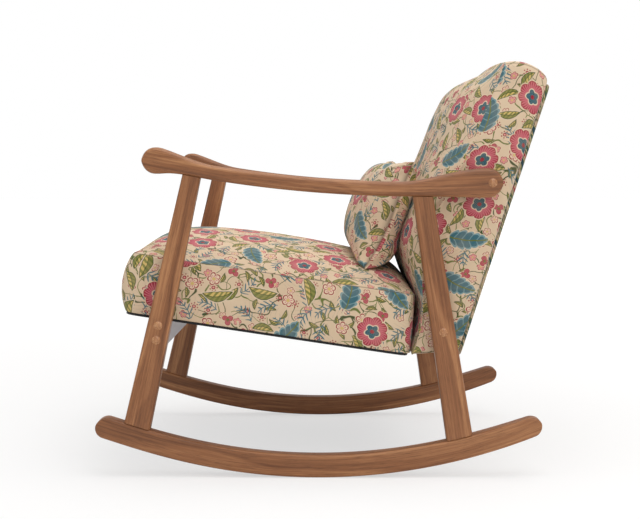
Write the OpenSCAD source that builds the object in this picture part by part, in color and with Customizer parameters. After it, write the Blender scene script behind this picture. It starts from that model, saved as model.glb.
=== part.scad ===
// Upholstered rocking armchair on two curved runners, with a loose pillow.
// The chair faces -Y, +Z is up, and the origin lies on the floor under the middle of its outline.

/* [Side frames] */
// Width over the outer faces of the side frames
frame_width = 620; // [560:1:700]
// Thickness of the runners and legs
member_thickness = 30; // [24:1:36]
// Radius that rounds the long edges of the wood
edge_round = 5; // [2:0.5:6]

/* [Runners] */
// Radius of the curve that rolls on the floor
runner_radius = 1130; // [900:10:1500]
// Depth of a runner from its top edge to its bottom edge
runner_depth = 42; // [34:1:50]
// Distance from the lowest point of a runner to either tip
runner_reach = 431; // [400:1:460]
// Where the lowest point of the runners lies along Y
runner_low_y = -6; // [-20:1:10]

/* [Legs] */
// Where the middle of a front leg meets its armrest, along Y
front_leg_top_y = -248; // [-258:1:-238]
// Where the middle of a front leg meets its runner, along Y
front_leg_foot_y = -356; // [-366:1:-346]
// Width of a front leg at its top
front_leg_top_width = 35; // [30:1:42]
// Width of a front leg at its foot
front_leg_foot_width = 51; // [42:1:58]
// Where the middle of a rear leg meets its armrest, along Y
rear_leg_top_y = 193; // [187:1:199]
// Where the middle of a rear leg meets its runner, along Y
rear_leg_foot_y = 266; // [259:1:271]
// Width of a rear leg at its top
rear_leg_top_width = 38; // [32:1:44]
// Width of a rear leg at its foot
rear_leg_foot_width = 50; // [42:1:58]

/* [Armrests] */
// Height of the armrest's underside at its lowest place
arm_height = 543; // [520:1:570]
// Width of an armrest
arm_width = 34; // [30:1:46]
// Depth of an armrest between its two bulbs
arm_depth = 28; // [24:1:32]
// Radius of the long curve of the armrest
arm_radius = 2400; // [1800:50:4000]
// Radius of the front bulb
arm_front_bulb = 25; // [20:0.5:28]
// Radius of the rear bulb
arm_rear_bulb = 28; // [22:0.5:30]

/* [Seat] */
// Clearance between the upholstery and the side frame on either side of it
upholstery_gap = 2; // [1.5:0.5:10]
// Depth of the seat box
seat_depth = 550; // [500:1:552]
// Height of the seat's side panels, up to the seam
seat_side_height = 117; // [100:1:130]
// How far the crown of the seat rises above the seam
seat_crown = 62; // [30:1:62]
// How far the front of the seat swells
seat_nose = 28; // [18:1:30]
// Angle by which the seat falls to the rear
seat_tilt = 8.5; // [7.5:0.1:9]
// Height of the seat's lower front edge
seat_front_height = 316; // [314:1:330]
// Where the seat's lower front edge lies along Y
seat_front_y = -372; // [-376:1:-370]

/* [Back] */
// Angle by which the back leans
back_recline = 17.8; // [17:0.1:18.5]
// Length of the back's rear face, from its foot to the top edge
back_length = 550; // [510:1:570]
// How far the crown of the back swells past its side panels
back_crown = 64; // [30:1:70]
// How far the top edge of the back rises in its middle
back_top_crown = 14; // [0:1:20]
// How far the back's lower rear edge lies below the seat's lower front edge
back_below_seat = 82; // [78:1:86]
// How far the back's lower rear edge lies behind the seat's lower front edge
back_behind_seat = 635; // [633:1:639]

/* [Pillow] */
// Width of the pillow from ear to ear
pillow_width = 400; // [300:1:440]
// Height of the pillow from ear to ear
pillow_height = 226; // [180:1:230]
// Depth of the pillow's front swelling
pillow_front_swell = 60; // [30:1:70]
// Depth of the pillow's rear swelling
pillow_rear_swell = 42; // [30:1:50]

/* [Hidden] */
$fn = 48;

// Colours as in the photograph
wood_colour = [0.55, 0.38, 0.27];
plug_colour = [0.60, 0.42, 0.30];
rail_colour = [0.72, 0.68, 0.68];
linen_colour = [0.86, 0.78, 0.66];
black_colour = [0.08, 0.08, 0.08];
timber_colour = [0.80, 0.66, 0.46];
foam_colour = [0.93, 0.90, 0.78];
steel_colour = [0.62, 0.63, 0.65];
webbing_colour = [0.25, 0.22, 0.20];

// Running clearances
overrun = 1;
touch = 0.3;
bore_clearance = 0.1;

// Side frames
outer_x = frame_width / 2;
inner_x = outer_x - member_thickness;
upholstery_width = 2 * (inner_x - upholstery_gap);
back_foot_height = seat_front_height - back_below_seat;
back_foot_y = seat_front_y + back_behind_seat;
runner_end = runner_depth / 2;
runner_middle = runner_radius - runner_end;
runner_angle = asin((runner_reach - runner_end) / runner_middle);
runner_spare_angle = 2;
leg_spare = 40;

// Armrest outline: two bulbs joined by a long shallow curve
arm_low_y = 177;
arm_front_y = -316;
arm_front_rise = 68;
arm_rear_rise = 25.7;
arm_bolt_from_bulb = 8;
arm_front_z = arm_height + arm_front_rise;
arm_rear_z = arm_height + arm_rear_rise;
stile_bolt_depth = 44;
arm_bolt_y = back_y(stile_bolt_depth, arm_rear_z);
arm_rear_y = arm_bolt_y - arm_bolt_from_bulb;
arm_front_blend = 112;
arm_rear_blend = 170;
arm_front_set = 8;

// Where a plane at a given depth in the back stands along Y, at height z
function back_y(depth, z) =
    back_foot_y - depth / cos(back_recline) + (z - back_foot_height) * tan(back_recline);
function smooth(u) = let (c = min(1, max(0, u))) c * c * (3 - 2 * c);
function mix(a, b, u) = a * (1 - u) + b * u;
function arm_low(y) = arm_height + pow(y - arm_low_y, 2) / (2 * arm_radius);
function arm_front_share(y) =
    pow(min(1, max(0, (arm_front_y + arm_front_blend - y) / (arm_front_blend - arm_front_set))), 2);
function arm_rear_share(y) = smooth((y - arm_rear_y + arm_rear_blend) / arm_rear_blend);
function arm_half(y) =
    let (band = mix(mix(arm_depth / 2, arm_front_bulb, arm_front_share(y)), arm_rear_bulb, arm_rear_share(y)))
    y < arm_front_y ? sqrt(max(0, pow(arm_front_bulb, 2) - pow(y - arm_front_y, 2))) :
    y > arm_rear_y ? sqrt(max(0, pow(arm_rear_bulb, 2) - pow(y - arm_rear_y, 2))) : band;
function arm_middle(y) =
    let (c = min(arm_rear_y, max(arm_front_y, y)))
    mix(mix(arm_low(c) + arm_depth / 2, arm_front_z, arm_front_share(c)), arm_rear_z, arm_rear_share(c));
arm_outer_x = inner_x + arm_width;

// Plain helpers
module side_plate(thickness, inside) {
    // Extrudes a (Y, Z) outline along X, from the inside face outwards
    translate([inside, 0, 0])
        rotate([90, 0, 90])
            linear_extrude(thickness)
                children();
}
module right_hand() {
    mirror([1, 0, 0])
        children();
}
module both_sides() {
    children();
    mirror([1, 0, 0])
        children();
}
module along_x(inside) {
    translate([inside, 0, 0])
        rotate([0, 90, 0])
            children();
}

// Rings of points are joined into closed skins, from one tip to the other
function corner_arc(cx, cy, r, start) = [for (a = [0:30:90]) [cx + r * cos(start + a), cy + r * sin(start + a)]];
function rounded_box(half_w, half_h, r) = concat(
    corner_arc(half_w - r, half_h - r, r, 0),
    corner_arc(r - half_w, half_h - r, r, 90),
    corner_arc(r - half_w, r - half_h, r, 180),
    corner_arc(half_w - r, r - half_h, r, 270)
);
module skin(rings, start_tip, end_tip, turned_rings = 0) {
    // The first rings may have their four-sided faces cut along the other diagonal
    n = len(rings[0]);
    m = len(rings);
    points = concat([start_tip], [for (ring = rings) each ring], [end_tip]);
    last = len(points) - 1;
    polyhedron(
        points = points,
        faces = concat(
            [for (k = [0:n - 1]) [0, 1 + k, 1 + (k + 1) % n]],
            [for (r = [0:m - 2]) for (k = [0:n - 1])
                let (
                    a = 1 + r * n + k,
                    b = 1 + (r + 1) * n + k,
                    c = 1 + (r + 1) * n + (k + 1) % n,
                    d = 1 + r * n + (k + 1) % n
                )
                each (r < turned_rings ? [[a, b, d], [b, c, d]] : [[a, b, c], [a, c, d]])],
            [for (k = [0:n - 1]) [1 + (m - 1) * n + k, last, 1 + (m - 1) * n + (k + 1) % n]]
        ),
        convexity = 6
    );
}

// Points round a square, closer together at its corners, and their place on a rounded square
function square_ring(n) = [for (k = [0:n - 1])
    let (side = floor(4 * k / n), e = -cos(180 * (4 * k / n - side)))
    side == 0 ? [e, -1] : side == 1 ? [1, e] : side == 2 ? [-e, 1] : [-1, -e]];
function on_rounded(d, power) = d / pow(pow(abs(d[0]), power) + pow(abs(d[1]), power), 1 / power);

// Runners
module runner_section() {
    translate([runner_radius - runner_end, member_thickness / 2])
        polygon(rounded_box(runner_end, member_thickness / 2, edge_round));
}
module runner_outline() {
    // The long arc with a round end at each tip
    intersection() {
        difference() {
            circle(runner_radius, $fn = 360);
            circle(runner_radius - runner_depth, $fn = 360);
        }
        polygon([
            [0, 0],
            2 * runner_radius * [-sin(runner_angle), -cos(runner_angle)],
            2 * runner_radius * [0, -1],
            2 * runner_radius * [sin(runner_angle), -cos(runner_angle)]
        ]);
    }
    for (side = [-1, 1])
        translate(runner_middle * [side * sin(runner_angle), -cos(runner_angle)])
            circle(runner_end);
}
module runner() {
    span = 2 * (runner_angle + runner_spare_angle);
    translate([inner_x, runner_low_y, runner_radius])
        rotate([90, 0, 90])
            intersection() {
                rotate([0, 0, -90 - span / 2])
                    rotate_extrude(angle = span, $fn = 360)
                        runner_section();
                translate([0, 0, -overrun])
                    linear_extrude(member_thickness + 2 * overrun)
                        runner_outline();
            }
}
module bored_runner() {
    difference() {
        runner();
        leg_dowels(front_foot, foot_dowel_d + 2 * bore_clearance, foot_dowel_length + 2 * bore_clearance,
            foot_dowel_spread);
        leg_dowels(rear_foot, foot_dowel_d + 2 * bore_clearance, foot_dowel_length + 2 * bore_clearance,
            foot_dowel_spread);
    }
}
module left_runner() {
    color(wood_colour)
        bored_runner();
}
module right_runner() {
    color(wood_colour)
        right_hand()
            bored_runner();
}

// Legs. A joint is [y, z, lean], where lean is the leg's own angle
function runner_top(y) =
    runner_radius - sqrt(pow(runner_radius - runner_depth, 2) - pow(y - runner_low_y, 2));
front_top_z = arm_low(front_leg_top_y);
front_foot_z = runner_top(front_leg_foot_y);
rear_top_z = arm_low(rear_leg_top_y);
rear_foot_z = runner_top(rear_leg_foot_y);
front_lean = atan((front_leg_top_y - front_leg_foot_y) / (front_top_z - front_foot_z));
rear_lean = atan((rear_leg_top_y - rear_leg_foot_y) / (rear_top_z - rear_foot_z));
front_top = [front_leg_top_y, front_top_z, front_lean];
front_foot = [front_leg_foot_y, front_foot_z, front_lean];
rear_top = [rear_leg_top_y, rear_top_z, rear_lean];
rear_foot = [rear_leg_foot_y, rear_foot_z, rear_lean];
top_dowel_d = 8;
top_dowel_length = 30;
top_dowel_spread = 8;
foot_dowel_d = 10;
foot_dowel_length = 40;
foot_dowel_spread = 12;

module leg_dowels(joint, d, length, spread) {
    translate([inner_x + member_thickness / 2, joint[0], joint[1]])
        rotate([-joint[2], 0, 0])
            for (side = [-1, 1])
                translate([0, side * spread, -length / 2])
                    cylinder(d = d, h = length);
}
function leg_ring(y, z, width) = [for (p = rounded_box(member_thickness / 2, width / 2, edge_round))
    [inner_x + member_thickness / 2 + p[0], y + p[1], z]];
module tapered_leg(top, top_width, foot, foot_width) {
    // Runs past both joints, to be cut to the runner's top and to the armrest's underside
    rise = top[1] - foot[1];
    over = leg_spare / rise;
    high = [mix(foot[0], top[0], 1 + over), mix(foot[1], top[1], 1 + over)];
    low = [mix(foot[0], top[0], -over), mix(foot[1], top[1], -over)];
    skin(
        [
            leg_ring(low[0], low[1], mix(foot_width, top_width, -over)),
            leg_ring(high[0], high[1], mix(foot_width, top_width, 1 + over))
        ],
        [inner_x + member_thickness / 2, low[0], low[1]],
        [inner_x + member_thickness / 2, high[0], high[1]]
    );
}
module under_arm() {
    // Everything above the armrest's underside, as a plate wider than a leg
    side_plate(member_thickness + 2 * overrun, inner_x - overrun)
        polygon(concat(
            [for (k = [0:arm_stations])
                let (y = mix(arm_front_y, arm_rear_y, k / arm_stations)) [y, arm_middle(y) - arm_half(y)]],
            [[arm_rear_y, 2 * arm_height], [arm_front_y, 2 * arm_height]]
        ));
}
module leg(top, top_width, foot, foot_width) {
    difference() {
        intersection() {
            tapered_leg(top, top_width, foot, foot_width);
            translate([0, runner_low_y, runner_radius])
                along_x(inner_x - overrun)
                    cylinder(r = runner_radius - runner_depth, h = member_thickness + 2 * overrun, $fn = 360);
        }
        under_arm();
        leg_dowels(top, top_dowel_d + 2 * bore_clearance, top_dowel_length + 2 * bore_clearance, top_dowel_spread);
        leg_dowels(foot, foot_dowel_d + 2 * bore_clearance, foot_dowel_length + 2 * bore_clearance,
            foot_dowel_spread);
        children();
    }
}
module front_leg() {
    leg(front_top, front_leg_top_width, front_foot, front_leg_foot_width)
        for (w = cross_bolt_heights)
            at_cross_bolt(w)
                frame_bolt_hole(cross_bolt_reach);
}
module rear_leg() {
    leg(rear_top, rear_leg_top_width, rear_foot, rear_leg_foot_width)
        at_rear_bolt()
            frame_bolt_hole(member_thickness + 2 * overrun);
}
module left_front_leg() {
    color(wood_colour)
        front_leg();
}
module right_front_leg() {
    color(wood_colour)
        right_hand()
            front_leg();
}
module left_rear_leg() {
    color(wood_colour)
        rear_leg();
}
module right_rear_leg() {
    color(wood_colour)
        right_hand()
            rear_leg();
}

// Armrests
arm_stations = 22;
cap_steps = 4;
arm_edge_round = 9;
arm_round_share = 0.98;
function arm_ring(y, half) = [for (p = rounded_box(arm_width / 2, half, min(arm_edge_round, arm_round_share * half)))
    [inner_x + arm_width / 2 + p[0], y, arm_middle(y) - p[1]]];
function arm_rings() = concat(
    [for (k = [1:cap_steps])
        let (y = arm_front_y - arm_front_bulb * cos(90 * k / (cap_steps + 1))) arm_ring(y, arm_half(y))],
    [for (k = [0:arm_stations])
        let (y = mix(arm_front_y, arm_rear_y, k / arm_stations)) arm_ring(y, arm_half(y))],
    [for (k = [1:cap_steps])
        let (y = arm_rear_y + arm_rear_bulb * sin(90 * k / (cap_steps + 1))) arm_ring(y, arm_half(y))]
);
module armrest() {
    middle = inner_x + arm_width / 2;
    difference() {
        skin(
            arm_rings(),
            [middle, arm_front_y - arm_front_bulb, arm_front_z],
            [middle, arm_rear_y + arm_rear_bulb, arm_rear_z]
        );
        leg_dowels(front_top, top_dowel_d + 2 * bore_clearance, top_dowel_length + 2 * bore_clearance,
            top_dowel_spread);
        leg_dowels(rear_top, top_dowel_d + 2 * bore_clearance, top_dowel_length + 2 * bore_clearance,
            top_dowel_spread);
        at_arm_bolt()
            frame_bolt_hole(arm_width + 2 * overrun);
    }
}
module left_armrest() {
    color(wood_colour)
        armrest();
}
module right_armrest() {
    color(wood_colour)
        right_hand()
            armrest();
}
module arm_dowels() {
    color(timber_colour)
        both_sides() {
            leg_dowels(front_top, top_dowel_d, top_dowel_length, top_dowel_spread);
            leg_dowels(rear_top, top_dowel_d, top_dowel_length, top_dowel_spread);
        }
}
module runner_dowels() {
    color(timber_colour)
        both_sides() {
            leg_dowels(front_foot, foot_dowel_d, foot_dowel_length, foot_dowel_spread);
            leg_dowels(rear_foot, foot_dowel_d, foot_dowel_length, foot_dowel_spread);
        }
}

// Bolts, their holes and the domed plugs. Each is drawn along +X with its head outside
bolt_d = 6;
bolt_head_d = 11;
bolt_head_height = 5;
counterbore_d = 14;
counterbore_depth = 12;
plug_dome_d = 17;
plug_dome_height = 4;
plug_stem_height = 5;
hex_key = 5;
hex_key_depth = 3;
rear_bolt_rise = 49;
rear_bolt_z = back_foot_height + rear_bolt_rise;
rear_bolt_y = mix(rear_foot[0], rear_top[0], (rear_bolt_z - rear_foot[1]) / (rear_top[1] - rear_foot[1]));

module at_cross_bolt(w) {
    seat_place()
        translate([0, cross_rail_middle, w])
            children();
}
module at_rear_bolt() {
    translate([0, rear_bolt_y, rear_bolt_z])
        children();
}
module at_arm_bolt() {
    translate([0, arm_bolt_y, arm_rear_z])
        children();
}
module frame_bolt_hole(reach, outside = outer_x) {
    along_x(outside - reach)
        cylinder(d = bolt_d + 2 * bore_clearance, h = reach + overrun);
    along_x(outside - counterbore_depth)
        cylinder(d = counterbore_d, h = counterbore_depth + arm_width);
}
module frame_bolt(inside_end, outside = outer_x) {
    seat = outside - counterbore_depth;
    difference() {
        union() {
            along_x(inside_end)
                cylinder(d = bolt_d, h = seat - inside_end);
            along_x(seat)
                cylinder(d = bolt_head_d, h = bolt_head_height);
        }
        along_x(seat + bolt_head_height - hex_key_depth)
            cylinder(d = hex_key, h = hex_key_depth + overrun, $fn = 6);
    }
}
module button_plug(outside = outer_x) {
    // A stem in the counterbore under a shallow dome
    dome_radius = (pow(plug_dome_d / 2, 2) + pow(plug_dome_height, 2)) / (2 * plug_dome_height);
    along_x(outside - plug_stem_height)
        cylinder(d = counterbore_d - 2 * bore_clearance, h = plug_stem_height);
    along_x(outside)
        intersection() {
            translate([0, 0, plug_dome_height - dome_radius])
                sphere(dome_radius);
            cylinder(d = plug_dome_d, h = plug_dome_height);
        }
}
module front_leg_bolts() {
    color(steel_colour)
        both_sides()
            for (w = cross_bolt_heights)
                at_cross_bolt(w)
                    frame_bolt(weld_nut_x);
}
module rear_leg_bolts() {
    color(steel_colour)
        both_sides()
            at_rear_bolt()
                frame_bolt(stile_inner_x + touch);
}
module arm_bolts() {
    color(steel_colour)
        both_sides()
            at_arm_bolt()
                frame_bolt(stile_inner_x + touch, arm_outer_x);
}
module front_leg_plugs() {
    color(plug_colour)
        both_sides()
            for (w = cross_bolt_heights)
                at_cross_bolt(w)
                    button_plug();
}
module rear_leg_plugs() {
    color(plug_colour)
        both_sides()
            at_rear_bolt()
                button_plug();
}
module arm_plugs() {
    color(plug_colour)
        both_sides()
            at_arm_bolt()
                button_plug(arm_outer_x);
}

// The seat's own frame of axes: X across, Y from its lower front edge to the rear, Z square to its underside
module seat_place() {
    translate([0, seat_front_y, seat_front_height])
        rotate([-seat_tilt, 0, 0])
            children();
}

// Front cross rail under the seat
cross_bolt_heights = [-11.5, -39.5];
cross_bolt_middle = (cross_bolt_heights[0] + cross_bolt_heights[1]) / 2;
// The rail crosses the seat's underside where the middle lines of the front legs pass its bolts
cross_rail_middle =
    let (
        slope = tan(front_lean),
        rise = seat_front_height + cross_bolt_middle * cos(seat_tilt) - front_foot_z
    )
    (front_leg_foot_y - seat_front_y - cross_bolt_middle * sin(seat_tilt) + rise * slope)
        / (cos(seat_tilt) + slope * sin(seat_tilt));
cross_rail_thickness = 28;
cross_rail_height = 56;
cross_rail_wall = 2.7;
cross_rail_end = 5;
cross_bolt_reach = member_thickness + 2 * overrun;
dust_thickness = 3.5;
weld_nut_d = 11;
weld_nut_length = 6;
weld_nut_x = inner_x - cross_rail_end - weld_nut_length;
rail_screw_inset = 21.7;
rail_screw_d = 5;
rail_screw_head_d = 10;
rail_screw_head = 4;
rail_screw_bite = 26;
cross_rail_top = -dust_thickness - touch;

module rail_screw_line() {
    for (side = [-1, 1])
        translate([side * (seat_frame_half - rail_thickness - rail_screw_inset), cross_rail_middle, 0])
            children();
}
module cross_rail_section(shrink) {
    polygon(rounded_box(cross_rail_thickness / 2 - shrink, cross_rail_height / 2 - shrink, edge_round - shrink));
}
module cross_rail_bar(shrink, half_length) {
    translate([0, cross_rail_middle, cross_rail_top - cross_rail_height / 2])
        rotate([90, 0, 90])
            translate([0, 0, -half_length])
                linear_extrude(2 * half_length)
                    cross_rail_section(shrink);
}
module front_cross_rail() {
    // A rectangular tube with a plate welded into each end
    color(rail_colour)
        seat_place()
            difference() {
                cross_rail_bar(0, inner_x);
                cross_rail_bar(cross_rail_wall, inner_x - cross_rail_end);
                for (w = cross_bolt_heights)
                    translate([0, cross_rail_middle, w])
                        along_x(-inner_x - overrun)
                            cylinder(d = bolt_d + 2 * bore_clearance, h = 2 * (inner_x + overrun));
                rail_screw_line() {
                    translate([0, 0, cross_rail_top - cross_rail_height - overrun])
                        cylinder(d = rail_screw_head_d + 2 * touch, h = cross_rail_wall + 2 * overrun);
                    translate([0, 0, cross_rail_top - cross_rail_wall - overrun])
                        cylinder(d = rail_screw_d + 2 * bore_clearance, h = cross_rail_wall + 2 * overrun);
                }
            }
}
module weld_nuts() {
    color(steel_colour)
        seat_place()
            for (side = [0, 1])
                mirror([side, 0, 0])
                    for (w = cross_bolt_heights)
                        translate([0, cross_rail_middle, w])
                            along_x(weld_nut_x)
                                difference() {
                                    rotate([0, 0, 30])
                                        cylinder(d = weld_nut_d, h = weld_nut_length, $fn = 6);
                                    translate([0, 0, -overrun])
                                        cylinder(d = bolt_d + 2 * bore_clearance, h = weld_nut_length + 2 * overrun);
                                }
}
module cross_rail_screws() {
    // Each is driven from inside the tube, up through its top wall into a corner block
    color(steel_colour)
        seat_place()
            rail_screw_line()
                translate([0, 0, cross_rail_top - cross_rail_wall]) {
                    cylinder(d = rail_screw_d, h = rail_screw_bite - cross_rail_top + cross_rail_wall);
                    translate([0, 0, -rail_screw_head])
                        cylinder(d = rail_screw_head_d, h = rail_screw_head);
                }
}

// Seat frame
cover_wall = 3;
rail_thickness = 25;
front_rail_thickness = 40;
rail_height = 60;
rail_foot = 0.5;
seat_half = upholstery_width / 2;
seat_panel_draw = 6;
seat_rear_draw = 6;
seat_nose_foot = 4;
seat_nose_start = 12;
seat_nose_turn = 158;
seat_nose_fullness = 0.55;
function seat_nose_at(u) =
    mix(seat_nose_foot, seat_nose, pow(sin(seat_nose_start + seat_nose_turn * u), seat_nose_fullness));
seat_panel_half = seat_half - seat_panel_draw;
frame_set = cover_wall + touch;
seat_frame_half = seat_panel_half - frame_set;
seat_frame_front = frame_set - seat_nose_at(0);
seat_frame_rear = seat_depth - frame_set - seat_rear_draw;
corner_block_leg = 64;
seat_bolt_share = 0.27;
seat_bolt_x = seat_bolt_share * upholstery_width;
seat_bolt_w = 42;
seat_bolt_d = 8;
seat_bolt_head_d = 18;
seat_bolt_head_height = 4;
seat_bolt_length = 92;

module seat_bolt_line() {
    for (side = [-1, 1])
        translate([side * seat_bolt_x, seat_frame_rear - rail_thickness, seat_bolt_w])
            rotate([-90, 0, 0])
                children();
}
module seat_bolt_holes() {
    seat_bolt_line()
        translate([0, 0, -overrun])
            cylinder(d = seat_bolt_d + 2 * bore_clearance, h = seat_bolt_length + 2 * overrun);
}
module seat_outline(inset) {
    polygon([for (d = square_ring(ring_points))
        let (p = on_rounded(d, seat_corner_power), draw = inset + (p[1] > 0 ? seat_rear_draw : -seat_nose_at(0)))
        [(seat_panel_half - inset) * p[0], seat_middle + (seat_middle - draw) * p[1]]]);
}
module seat_plank(left, front, width, depth, foot, height) {
    // A flat plank, its outer corners rounded as the seat's are
    translate([0, 0, foot])
        linear_extrude(height)
            intersection() {
                seat_outline(frame_set);
                translate([left, front])
                    square([width, depth]);
            }
}
module seat_cross_member(front_face, thickness) {
    half = seat_frame_half - rail_thickness;
    seat_plank(-half, front_face, 2 * half, thickness, rail_foot, rail_height);
}
module seat_front_rail() {
    color(timber_colour)
        seat_place()
            seat_cross_member(seat_frame_front, front_rail_thickness);
}
module seat_rear_rail() {
    color(timber_colour)
        seat_place()
            difference() {
                seat_cross_member(seat_frame_rear - rail_thickness, rail_thickness);
                seat_bolt_holes();
            }
}
module seat_left_rail() {
    color(timber_colour)
        seat_place()
            seat_plank(seat_frame_half - rail_thickness, seat_frame_front, rail_thickness, seat_depth + seat_nose,
                rail_foot, rail_height);
}
module seat_right_rail() {
    color(timber_colour)
        seat_place()
            seat_plank(-seat_frame_half, seat_frame_front, rail_thickness, seat_depth + seat_nose, rail_foot,
                rail_height);
}
module seat_corner_blocks() {
    inner_half = seat_frame_half - rail_thickness;
    front = seat_frame_front + front_rail_thickness;
    rear = seat_frame_rear - rail_thickness;
    block_height = rail_height / 2;
    color(timber_colour)
        seat_place()
            difference() {
                translate([0, 0, rail_foot])
                    linear_extrude(block_height)
                        for (side = [-1, 1]) {
                            polygon([
                                [side * inner_half, front],
                                [side * (inner_half - corner_block_leg), front],
                                [side * inner_half, front + corner_block_leg]
                            ]);
                            polygon([
                                [side * inner_half, rear],
                                [side * (inner_half - corner_block_leg), rear],
                                [side * inner_half, rear - corner_block_leg]
                            ]);
                        }
                rail_screw_line()
                    translate([0, 0, rail_foot - overrun])
                        cylinder(d = rail_screw_d + 2 * bore_clearance, h = rail_screw_bite + 2 * overrun);
            }
}

// Zigzag springs, from the front rail to the rear rail
spring_count = 5;
spring_wire = 3.8;
spring_width = 46;
spring_bends = 21;
spring_edge = 51.7;
spring_pitch = 2 * (seat_frame_half - rail_thickness - spring_edge) / (spring_count - 1);
clip_width = 60;
clip_depth = 20;
clip_wall = 1.5;
spring_start = seat_frame_front + front_rail_thickness / 2;
spring_span = seat_frame_rear - rail_thickness / 2 - spring_start;
spring_step = spring_span / spring_bends;
spring_height = rail_foot + rail_height + clip_wall + spring_wire / 2;

module spring_row() {
    for (k = [0:spring_count - 1])
        translate([(k - (spring_count - 1) / 2) * spring_pitch, 0, spring_height])
            children();
}
module zigzag_outline() {
    // Straight runs across, joined by half rings at alternate ends
    run = spring_width - spring_step;
    for (k = [0:spring_bends])
        translate([-run / 2, spring_start + k * spring_step - spring_wire / 2])
            square([run, spring_wire]);
    for (k = [0:spring_bends - 1])
        translate([(k % 2 == 0 ? 1 : -1) * run / 2, spring_start + (k + 0.5) * spring_step])
            difference() {
                circle((spring_step + spring_wire) / 2);
                circle((spring_step - spring_wire) / 2);
                translate([(k % 2 == 0 ? -1 : 0) * spring_width, -spring_width])
                    square([spring_width, 2 * spring_width]);
            }
}
module zigzag_spring() {
    translate([0, 0, -spring_wire / 2])
        linear_extrude(spring_wire)
            zigzag_outline();
}
module seat_springs() {
    color(steel_colour)
        seat_place()
            spring_row()
                zigzag_spring();
}
module spring_clip() {
    // A strip under the wire, folded over it and nailed to the rail
    fold = spring_wire + 2 * clip_wall + 2 * touch;
    rotate([90, 0, 90])
        translate([0, 0, -clip_width / 2])
            linear_extrude(clip_width)
                difference() {
                    translate([-clip_depth / 2, -spring_wire / 2 - clip_wall])
                        square([clip_depth, fold]);
                    translate([-clip_depth / 2 + clip_wall, -spring_wire / 2 - touch])
                        square([clip_depth, fold - 2 * clip_wall]);
                }
}
module spring_clips() {
    color(steel_colour)
        seat_place()
            spring_row()
                for (v = [spring_start, spring_start + spring_span])
                    translate([0, v, 0])
                        rotate([0, 0, v > spring_start ? 180 : 0])
                            spring_clip();
}
pad_thickness = 4;
pad_height = spring_height + spring_wire / 2 + clip_wall + 2 * touch;
pad_inset = 6;
module seat_spring_pad() {
    color(webbing_colour)
        seat_place()
            translate([0, 0, pad_height])
                linear_extrude(pad_thickness)
                    seat_outline(frame_set + pad_inset);
}

// Seat cover and foam: rings up the drawn-in sides, then rings over the crown
ring_points = 44;
seat_corner_power = 26;
seat_middle = seat_depth / 2;
side_swell_turn = 150;
function side_swell(u) = sin(side_swell_turn * u) / sin(side_swell_turn / 2);
function crown_share(p, across, along) = max(0, (1 - pow(abs(p[0]), across)) * (1 - pow(abs(p[1]), along)));
seat_crown_across = 2.2;
seat_crown_edge = 8;
seat_crown_bow = 0.37;
function seat_crown_share(p) =
    max(0, 1 - pow(abs(p[0]), seat_crown_across))
        * max(0, 1 - seat_crown_bow * pow(p[1], 2) - (1 - seat_crown_bow) * pow(abs(p[1]), seat_crown_edge));
function seat_ring(u, rho, inset, n = ring_points) = [for (d = square_ring(n))
    let (
        p = on_rounded(d, seat_corner_power),
        swell = side_swell(u),
        half_x = seat_panel_half + (seat_panel_draw - touch) * swell - inset,
        half_y = seat_middle + (p[1] < 0 ? seat_nose_at(u) : -seat_rear_draw * u) * abs(p[1]) - inset,
        lift = seat_crown * seat_crown_share(rho * p)
    )
    [rho * half_x * p[0], seat_middle + rho * half_y * p[1], u * (seat_side_height + lift) - (u < 1 ? 0 : inset)]];
crown_steps = [0.95, 0.87, 0.76, 0.6, 0.42, 0.22];
inner_crown_steps = [0.3, 0.6, 0.8, 0.93, 1];
foam_crown_steps = [0.93, 0.8, 0.6, 0.3];
foam_gap = 0.4;
foam_bolt_gap = 0.8;
foam_inset = cover_wall + foam_gap;
seat_foam_share = (pad_height + pad_thickness + touch) / seat_side_height;
module seat_cover() {
    // A bowl turned over: inside from its middle to its rim, then outside from its rim to its middle
    color(linen_colour)
        seat_place()
            difference() {
                skin(
                    concat(
                        [for (rho = inner_crown_steps) seat_ring(1, rho, cover_wall)],
                        [for (u = [seat_foam_share, 0.3, 0]) seat_ring(u, 1, cover_wall)],
                        [for (u = [0, 0.08, 0.25, 0.5, 0.75, 0.9, 1]) seat_ring(u, 1, 0)],
                        [for (rho = crown_steps) seat_ring(1, rho, 0)]
                    ),
                    [0, seat_middle, seat_side_height + seat_crown - cover_wall],
                    [0, seat_middle, seat_side_height + seat_crown],
                    len(inner_crown_steps)
                );
                seat_bolt_holes();
            }
}
module seat_foam() {
    color(foam_colour)
        seat_place()
            skin(
                concat(
                    [for (u = [seat_foam_share, 1]) seat_ring(u, 1, foam_inset)],
                    [for (rho = foam_crown_steps) seat_ring(1, rho, foam_inset)]
                ),
                [0, seat_middle, seat_foam_share * seat_side_height],
                [0, seat_middle, seat_side_height + seat_crown - foam_inset]
            );
}
module seat_dust_cover() {
    color(black_colour)
        seat_place()
            difference() {
                translate([0, 0, -dust_thickness])
                    linear_extrude(dust_thickness)
                        seat_outline(cover_wall / 2);
                rail_screw_line()
                    translate([0, 0, -dust_thickness - overrun])
                        cylinder(d = rail_screw_d + 2 * bore_clearance, h = dust_thickness + 2 * overrun);
            }
}
module seat_back_bolts() {
    color(steel_colour)
        seat_place()
            seat_bolt_line() {
                cylinder(d = seat_bolt_d, h = seat_bolt_length);
                translate([0, 0, -seat_bolt_head_height])
                    cylinder(d = seat_bolt_head_d, h = seat_bolt_head_height);
            }
}

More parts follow.
